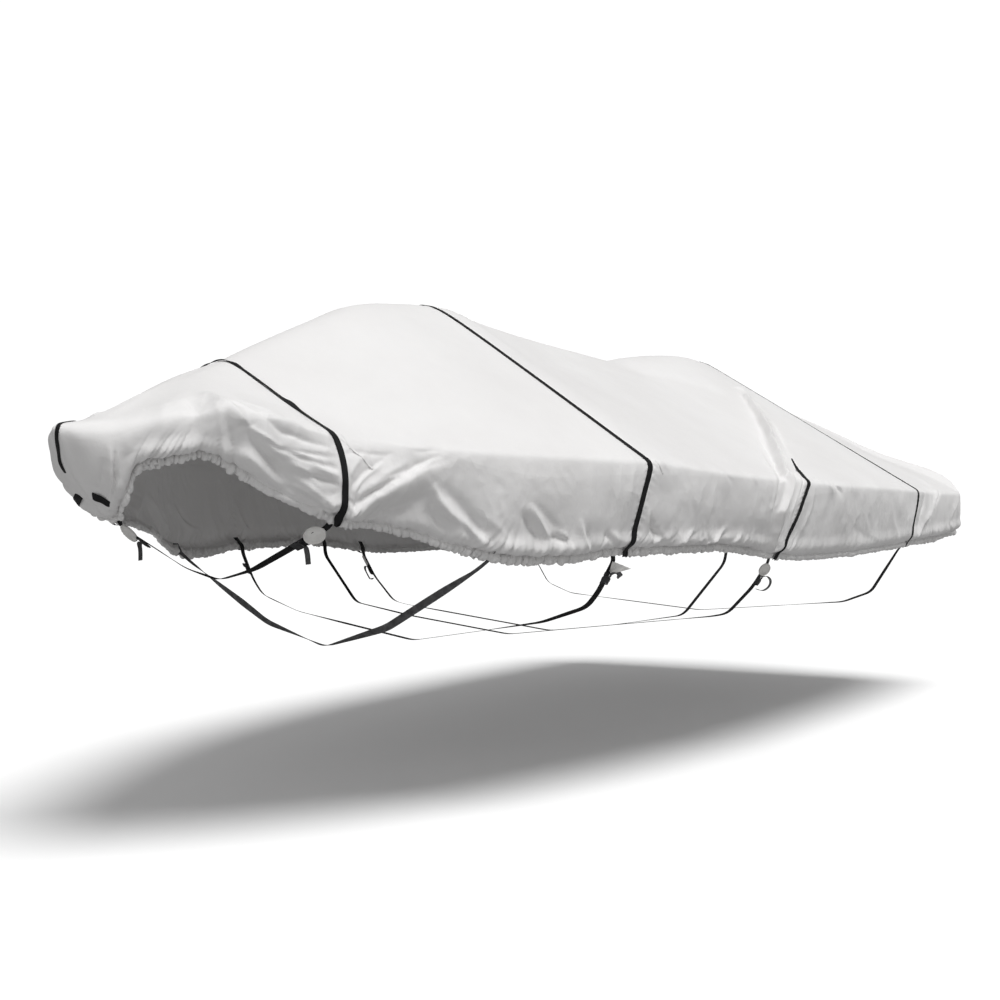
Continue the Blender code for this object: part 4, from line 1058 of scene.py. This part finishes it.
BELT_SHOWS = (0.024, 0.062)   # the a between which the belt shows
BELT_SINK = 0.018        # how deep it is sunk beyond
DART_RISE = 0.0012       # thickness of a dart's seam
CASING_LIFT = (0.0095, 0.034, 0.004)   # a strap's rise over the casing, and where and how fast it ends


def resample(path, step, rounds=2):
    """Evenly spaced points along a polyline whose corners are cut round."""
    path = np.array(path, float)
    for _ in range(rounds):
        near, far = path[:-1] * 0.75 + path[1:] * 0.25, path[:-1] * 0.25 + path[1:] * 0.75
        middle = np.stack((near, far), axis=1).reshape(-1, path.shape[1])
        path = np.concatenate((path[:1], middle[1:-1], path[-1:]))
    run = run_along(path)
    marks = np.linspace(0.0, run[-1], max(int(run[-1] / step), 2) + 1)
    return np.stack([np.interp(marks, run, path[:, k]) for k in range(path.shape[1])], axis=-1)


def laid(side, path, width, upright):
    """The cloth under a band: points and outward directions for each ring and profile point.

    width is a number, or a table of (w, width), and upright says that the band runs round the
    cover, with its edges above each other."""
    cloth = CLOTHS[side]
    path = resample(path, STATION)
    if isinstance(width, tuple):
        width = np.interp(path[:, 1], *np.array(width).T)[:, None]
    ahead = unit(np.gradient(path, axis=0))
    across = np.stack((ahead[:, 1], -ahead[:, 0]), axis=-1)
    across *= np.where(across[:, 1 if upright else 0] < 0, -1.0, 1.0)[:, None]
    shares = BAND_PROFILE[None, :, 0] * width
    a = path[:, :1] + across[:, :1] * shares
    w = path[:, 1:] + across[:, 1:] * shares
    if not upright:      # on the ridge the band's edges end on it as well
        ridge = cloth.ridge_w(path[:, 0])
        near_ridge = clamp(np.minimum(path[:, 1], ridge) / np.maximum(ridge, 1e-6)) ** 2
        w += near_ridge[:, None] * (cloth.ridge_w(np.clip(a, 0, EDGE_END)) - ridge[:, None])
    points, facing = cloth.lay(np.abs(a), w)
    return points, facing, path


def soften(values):
    """Mean over five neighbours along the first axis."""
    padded = np.concatenate([values[:1]] * 2 + [values] + [values[-1:]] * 2)
    return sum(padded[k:k + len(values)] for k in range(5)) / 5


def band(name, slot, nodes, points, facing, lift=0.0, thick=WEBBING, width=STRAP_WIDTH):
    """A strap that lies on the cloth, a little stiffer than it."""
    base = soften(points)
    facing = unit(soften(facing))
    rise = np.einsum("nkc,nkc->nk", points - base, facing)
    rise = np.maximum.reduce([np.roll(rise, shift, axis=0) for shift in (-2, -1, 0, 1, 2)])
    rise = np.broadcast_to(rise.max(axis=1, keepdims=True), rise.shape)
    rise = np.clip(soften(rise), 0.0, STIFF_RISE)
    vertices = base + facing * (rise + lift + CLEARANCE + BAND_PROFILE[:, 1] * thick)[..., None]
    run = run_along(base[:, BAND_MIDDLE])
    uv = np.stack(np.broadcast_arrays(BAND_PROFILE[None, :, 0] * width, run[:, None]), axis=-1)
    rings, sides = vertices.shape[:2]
    thing = new_object(name, vertices.reshape(-1, 3), tube_faces(rings, sides), slot, uv.reshape(-1, 2))
    return dress(thing, slot, *nodes)


def casing_lift(above):
    """How far a strap rises where it crosses the hem's casing."""
    most, end, fade = CASING_LIFT
    return most * below(above, end, fade)


def joined(halves):
    """Points and directions of a whole band, from its port end over to its starboard end."""
    return (np.concatenate((halves[0][k], halves[1][k][-2::-1])) for k in (0, 1))


def make_over_straps():
    """The three straps that cross the top, and the two ends of the aft strap."""
    for name, offsets in OVER_PATHS.items():
        halves = []
        for side in (-1, 1):
            cloth, place = CLOTHS[side], STRAPS[name]
            hem_a, ridge_a = place + offsets[0][0], place + offsets[-1][0]
            path = [(hem_a, cloth.hem_w(hem_a) - HEM_OVERLAP)]
            path += [(place + off, w) for off, w in offsets]
            path.append((ridge_a, cloth.ridge_w(ridge_a)))
            points, facing, marks = laid(side, path, STRAP_WIDTH, upright=False)
            extra = casing_lift(marks[:, 1] - cloth.hem_w(marks[:, 0]))
            if name == "front":      # it has worked loose on top and lies in small waves
                w = marks[:, 1]
                loose = clamp((w + 0.03) / 0.10)
                tilt = LOOSE_WAVE * loose * line_noise(w / LOOSE_SPAN, 70 + side)
                extra = extra[:, None] + np.abs(tilt)[:, None] * 0.5 + tilt[:, None] * BAND_PROFILE[:, 0]
            else:
                extra = np.repeat(extra[:, None], len(BAND_PROFILE), axis=1)
            halves.append((points + facing * extra[..., None], facing))
        band(f"strap_{name}_web", "webbing", [f"strap_{name}"], *joined(halves))
    for side, word in SIDES:
        cloth, place = CLOTHS[side], STRAPS["aft"]
        path = [(place, cloth.hem_w(place) - HEM_OVERLAP)]
        path += [(place + off, w) for off, w in AFT_PATH]
        points, facing, marks = laid(side, path, AFT_WIDTHS, upright=False)
        start, run, depth = AFT_TUCK
        tuck = clamp((marks[:, 1] - start) / run) * depth
        extra = casing_lift(marks[:, 1] - cloth.hem_w(marks[:, 0])) - tuck
        band(f"strap_aft_{word}_web", "webbing", [f"strap_aft_{word}"],
             points + facing * extra[:, None, None], facing)


def make_bow_straps():
    """The short strap down the stem, and the belt round under the bow's pocket."""
    knots, line = np.array(STEM_LINE).T
    w = np.arange(knots[0], knots[-1], -STEM_STEP)
    a = np.interp(-w, -knots, line)[:, None] + BAND_PROFILE[:, 0] * STEM_STRAP_WIDTH
    rows = [CLOTHS[side].lay(np.abs(a), w[:, None]) for side in (-1, 1)]
    port = (a < 0)[..., None]
    points, facing = (np.where(port, rows[0][k], rows[1][k]) for k in (0, 1))
    low, high = clamp((-0.100 - w) / 0.045), clamp((w - 0.065) / 0.02)
    sink = STEM_SINK * (low + high)
    band("bow_strap_web", "webbing", ["bow_strap"], points - facing * sink[:, None, None], facing,
         width=STEM_STRAP_WIDTH)
    halves = []
    for side in (-1, 1):
        points, facing, marks = laid(side, BELT_PATH, BOW_STRAP_WIDTH, upright=True)
        near, far = BELT_SHOWS
        a = marks[:, 0]
        hidden = clamp((a - far) / 0.02) + clamp((near - a) / 0.01)
        sink = BELT_SINK * np.minimum(hidden, 1.0)
        halves.append((points - facing * sink[:, None, None], facing))
    band("bow_belt_web", "webbing", ["bow_belt"], *joined(halves), width=BOW_STRAP_WIDTH)


def make_darts():
    """Short sewn darts, each a narrow raised seam."""
    for number, (side, path) in enumerate(DARTS):
        points, facing, _ = laid(side, path, DART_WIDTH, upright=abs(path[0][0] - path[-1][0]) > 0.05)
        band(f"dart_{number + 1}", "cover_cloth", [], points, facing, lift=-DART_RISE, thick=DART_RISE,
             width=DART_WIDTH)


# ---------------------------------------------------------------- straps underneath
UNDER_ENDS = ((0.032, 0.018), (0.012, 0.015), (0.0, 0.013))   # over the hem, depth inside the cloth
UNDER_BEND = 0.030       # radius of the bends in a strap underneath
UNDER_STEP = 0.010       # distance between its rings
AFT = np.array((1.0, 0.0, 0.0))


def rounded(points, radius, step):
    """A polyline with its corners rounded, as evenly spaced points."""
    points = np.array(points, float)
    path = [points[:1]]
    t = np.linspace(0.0, 1.0, 7)[:, None]
    for before, corner, after in zip(points, points[1:], points[2:]):
        near, far = before - corner, after - corner
        reach = min(radius, 0.45 * np.linalg.norm(near), 0.45 * np.linalg.norm(far))
        start, end = corner + unit(near) * reach, corner + unit(far) * reach
        path.append((1 - t) ** 2 * start + 2 * t * (1 - t) * corner + t * t * end)
    path = np.concatenate(path + [points[-1:]])
    return resample(path, step, rounds=0)


def free_band(name, slot, nodes, centre, across, out, width):
    """A band in the air: across and out are unit directions at each of its rings."""
    vertices = (centre[:, None] + across[:, None] * (BAND_PROFILE[:, :1] * width)
                + out[:, None] * (BAND_PROFILE[:, 1:] * WEBBING))
    uv = np.stack(np.broadcast_arrays(BAND_PROFILE[None, :, 0] * width, run_along(centre)[:, None]),
                  axis=-1)
    thing = new_object(name, vertices.reshape(-1, 3), tube_faces(len(centre), len(BAND_PROFILE)), slot,
                       uv.reshape(-1, 2))
    return dress(thing, slot, *nodes)


def across_of(along, toward):
    """Unit directions across a band that runs along, as near as they can be to toward."""
    return unit(toward - along * (along @ toward)[:, None])


def make_under_straps():
    """The straps from hem to hem underneath, turned about their own line as in the photograph."""
    above, depth = np.array(UNDER_ENDS).T
    for name, edge_s, s, route, turns in UNDER_STRAPS:
        a = at_s(edge_s)
        ends = []
        for side in (-1, 1):
            cloth = CLOTHS[side]
            points, facing = cloth.lay(np.full(len(above), a), cloth.hem_w(a) + above)
            inside = points - facing * depth[:, None]
            line = [np.array((s - CREST_S, side * b, h - CREST)) for b, h in route]
            ends.append(list(inside) + line)
        path = rounded(ends[0] + ends[1][-2::-1], UNDER_BEND, UNDER_STEP)
        along = unit(np.gradient(path, axis=0))
        share = np.linspace(-1.0, 1.0, len(path))        # from the port hem to the starboard hem
        level = across_of(along, AFT)
        out = unit(np.cross(along, level))
        out *= -1.0 if out[0, 1] > 0 else 1.0
        knots = np.linspace(1.0, 0.0, len(turns))[::-1]
        angle = np.radians(np.interp(np.abs(share), knots, turns[::-1]))
        cosine, sine = np.cos(angle)[:, None], np.sin(angle)[:, None]
        across, facing = level * cosine + out * sine, out * cosine - level * sine
        # strap b is drawn in the lighter webbing, whose grey is painted sheen from glancing light
        free_band(f"under_strap_{name}_web", "webbing" if name != "b" else "grey_webbing",
                  [f"under_strap_{name}"], path, across, facing, STRAP_WIDTH)


# ---------------------------------------------------------------- tie-downs
TAIL_STEP = 0.004        # distance between a tail's rings
PAD_SIDES = 72           # points round a pad
PAD_SLACK = 0.0040       # how slack its face is
PAD_PINCH = 0.0007       # how deep its rim is pinched
FLAP_COUNT = 14          # points along a flap's side
FLAP_CLOTH = 0.0012      # its thickness
FLAP_LIFT = 0.004        # between it and the strap
FLAP_CURL = 0.010        # how far its free corner curls out
FLAP_CREASES = (0.004, 0.0015)     # heights of its broad and its fine creases
FLAP_TOP = np.array(((-0.50, -0.50), (0.50, -0.38)))      # its corners, in shares of width and length
FLAP_BOTTOM = np.array(((-0.44, 0.42), (-0.16, 0.50)))


def seat(strap, side, across, down, turn):
    """Where a fitting sits on its strap: its middle and its across, down and out directions."""
    _, _, s, route, _ = next(row for row in UNDER_STRAPS if row[0] == strap)
    start, end = (np.array((s - CREST_S, side * b, h - CREST)) for b, h in route[:2])
    along = unit(end - start)
    out = np.cross(AFT, along)
    out *= np.sign(out[1] * side)
    cosine, sine = math.cos(math.radians(turn)), math.sin(math.radians(turn))
    level, facing = AFT * cosine + out * sine, out * cosine - AFT * sine
    middle = start + level * across + along * down + facing * (WEBBING + CLEARANCE)
    return middle, np.stack((level, along, facing))


def placed(where, local):
    """Local points (across, down, out) of a fitting, in the frame."""
    middle, axes = where
    return middle + np.asarray(local, float) @ axes


def make_buckle(name, where):
    """A side-release buckle: housing, pressed-in side catches, and a ladder bar at each end."""
    mesh = bmesh.new()
    for centre, size, radius in BUCKLE_BLOCKS:
        verts = bmesh.ops.create_cube(mesh, size=1.0)["verts"]
        for vert in verts:
            vert.co = Vector([vert.co[k] * size[k] + centre[k] for k in range(3)])
        edges = {edge for vert in verts for edge in vert.link_edges}
        bmesh.ops.bevel(mesh, geom=list(edges), offset=radius, segments=3, profile=0.5, affect="EDGES")
    for vert in mesh.verts:
        vert.co = Vector(placed(where, vert.co))
    bmesh.ops.recalc_face_normals(mesh, faces=mesh.faces)
    data = bpy.data.meshes.new(name)
    mesh.to_mesh(data)
    mesh.free()
    data.shade_smooth()
    data.materials.append(MATERIALS["buckle"])
    dress(add_object(f"{name}_clip", data), "buckle", name)


def make_pouch(name, where, width, length, seed):
    """An oval pad with a piped rim; its face is slack inside the rim."""
    turns = np.linspace(0.0, 2 * np.pi, PAD_SIDES, endpoint=False)
    cosine, sine = np.cos(turns), np.sin(turns)
    wobble = 1.0 + 0.025 * value_noise(cosine * 2.2 + 5, sine * 2.2 + 5, seed)
    rings = []
    for radius, height in POUCH_RINGS:
        x, y = 0.5 * width * radius * wobble * cosine, 0.5 * length * radius * wobble * sine
        face, rim = radius < 0.86 and height > 0.002, 0.7 < radius < 1.05 and height > 0.001
        slack = PAD_SLACK * value_noise(x / 0.014 + 9, y / 0.022 + 9, seed + 1) * face
        pinch = PAD_PINCH * np.sin(turns * 26 + 4 * np.sin(turns * 3)) * rim
        rings.append(np.stack((x, y, np.full(len(turns), height) + slack + pinch), axis=-1))
    vertices = placed(where, np.concatenate(rings))
    thing = new_object(f"{name}_pad", vertices, tube_faces(len(rings), len(turns)), "pale_cloth")
    dress(thing, "pale_cloth", name)


def make_flap(name, where, width, length):
    """A small triangle of cloth, creased and curling at its free corner."""
    count = FLAP_COUNT
    u, v = np.meshgrid(np.linspace(0.0, 1.0, count), np.linspace(0.0, 1.0, count), indexing="ij")
    edge_top, edge_low = (ends[0] + (ends[1] - ends[0]) * u[..., None] for ends in (FLAP_TOP, FLAP_BOTTOM))
    flat = (edge_top * (1 - v[..., None]) + edge_low * v[..., None]) * (width, length)
    broad, fine = FLAP_CREASES
    crease = broad * np.sin(7 * u + 3 * v) * v + fine * np.sin(19 * u - 4 * v)
    curl = FLAP_LIFT + FLAP_CURL * u ** 2 * (1 - v) + crease
    sheet = np.concatenate((flat, curl[..., None]), axis=-1)
    back = sheet - (0.0, 0.0, FLAP_CLOTH)
    size = count * count
    rim = np.concatenate((np.arange(count) * count, (count - 1) * count + np.arange(1, count),
                          (np.arange(count - 2, -1, -1)) * count + count - 1, np.arange(count - 2, 0, -1)))
    faces = list(grid_faces(count, count)) + list(grid_faces(count, count, True, size))
    faces += [(p, q, q + size, p + size) for p, q in zip(rim, np.roll(rim, -1))]
    vertices = placed(where, np.concatenate((sheet.reshape(-1, 3), back.reshape(-1, 3))))
    thing = new_object(f"{name}_cloth", vertices, faces, "pale_cloth")
    dress(thing, "pale_cloth", name)


def make_tail(name, where, path, width):
    """A webbing tail along local points, its face turned out."""
    points = placed(where, resample(path, TAIL_STEP))
    along = unit(np.gradient(points, axis=0))
    level = across_of(along, where[1][0])
    out = unit(np.cross(level, along))
    free_band(f"{name}_end", "grey_webbing", [name], points, level, out, width)


def make_fittings():
    """Every tie-down's pad, flap, buckle and tail, on both sides."""
    for side, word in SIDES:
        for number, (name, form, strap, across, down, width, length, turn) in enumerate(FITTINGS):
            where = seat(strap, side, across, down, turn)
            if form == "buckle":
                make_buckle(f"{name}_{word}", where)
            elif form == "pad":
                make_pouch(f"{name}_{word}", where, width, length, 90 + number + side)
            else:
                make_flap(f"{name}_{word}", where, width, length)
        for name, strap, down, turn, width, path in TAILS:
            make_tail(f"{name}_{word}", seat(strap, side, 0.0, down, turn), path, width)


make_casing()
make_cover()
make_over_straps()
make_bow_straps()
make_darts()
make_under_straps()
make_fittings()

# ---------------------------------------------------------------- studio and camera
CAMERA_PLACE = (-4.584, -3.097, -0.785)
CAMERA_YAW = math.radians(30.628)
CAMERA_PITCH = math.radians(0.409)
FLOOR_BOUNCE = 0.36      # share of the light that the floor throws back
FLOOR_GLOW = 0.05        # keeps the floor as white as the wall, for the camera alone
LENS, SENSOR = 51.99, 36.0    # mm
WHITE = (1.0, 1.0, 1.0, 1.0)


def make_camera():
    """The camera as it was solved from the photograph."""
    data = bpy.data.cameras.new("photo_camera")
    data.sensor_width = SENSOR
    data.lens = LENS
    data.clip_end = 200.0
    camera = add_object("photo_camera", data)
    ahead = Vector((math.cos(CAMERA_YAW) * math.cos(CAMERA_PITCH),
                    math.sin(CAMERA_YAW) * math.cos(CAMERA_PITCH), math.sin(CAMERA_PITCH)))
    right = Vector((math.sin(CAMERA_YAW), -math.cos(CAMERA_YAW), 0.0))
    turn = Matrix((right, right.cross(ahead), -ahead)).transposed().to_4x4()
    camera.matrix_world = Matrix.Translation(CAMERA_PLACE) @ turn
    bpy.context.scene.camera = camera


def make_floor():
    """A white floor that throws less light back up at the part than it shows."""
    reach = 60.0
    corners = ((-reach, -reach), (reach, -reach), (reach, reach), (-reach, reach))
    vertices = [(x, y, FLOOR) for x, y in corners]
    shade = Shader("floor", (0.95, 0.95, 0.95), 0.95)
    path = shade.node("ShaderNodeLightPath")
    tone = shade.node("ShaderNodeMix", data_type="RGBA")
    tone.inputs[6].default_value = (FLOOR_BOUNCE, FLOOR_BOUNCE, FLOOR_BOUNCE, 1.0)
    tone.inputs[7].default_value = WHITE
    glow = shade.maths("MULTIPLY", path.outputs["Is Camera Ray"], FLOOR_GLOW)
    shade.main.inputs["Emission Color"].default_value = WHITE
    shade.drive("Emission Strength", glow)
    shade.link(path.outputs["Is Camera Ray"], tone.inputs[0])
    shade.drive("Base Color", tone.outputs[2])
    floor = new_object("floor", vertices, [(0, 1, 2, 3)], shade.material)
    floor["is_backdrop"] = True


def add_sun(name, direction, strength, angle):
    """A soft sun that shines from direction."""
    data = bpy.data.lights.new(name, "SUN")
    data.energy = strength
    data.angle = math.radians(angle)
    lamp = add_object(name, data)
    lamp.matrix_world = Vector(direction).to_track_quat("Z", "Y").to_matrix().to_4x4()


def make_world(light, seen):
    """Even white light, and a white studio behind the object, as bright as seen to the camera."""
    world = bpy.data.worlds.new("studio")
    bpy.context.scene.world = world
    world.use_nodes = True
    tree = world.node_tree
    back, wall = tree.nodes["Background"], tree.nodes.new("ShaderNodeBackground")
    for node, strength in ((back, light), (wall, seen)):
        node.inputs["Color"].default_value = WHITE
        node.inputs["Strength"].default_value = strength
    mix = tree.nodes.new("ShaderNodeMixShader")
    path = tree.nodes.new("ShaderNodeLightPath")
    tree.links.new(path.outputs["Is Camera Ray"], mix.inputs["Fac"])
    tree.links.new(back.outputs["Background"], mix.inputs[1])
    tree.links.new(wall.outputs["Background"], mix.inputs[2])
    tree.links.new(mix.outputs["Shader"], tree.nodes["World Output"].inputs["Surface"])


make_camera()
make_floor()
make_world(0.26, 1.05)
add_sun("key", (-0.17, -0.38, 0.91), 2.66, 32.0)
add_sun("fill", (-0.90, -0.45, 0.25), 0.38, 60.0)
bpy.context.scene.view_settings.view_transform = "Standard"

({"cad": [list(corner) for corner in CAD_BOX],
           "visual": [list(corner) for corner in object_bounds()]})
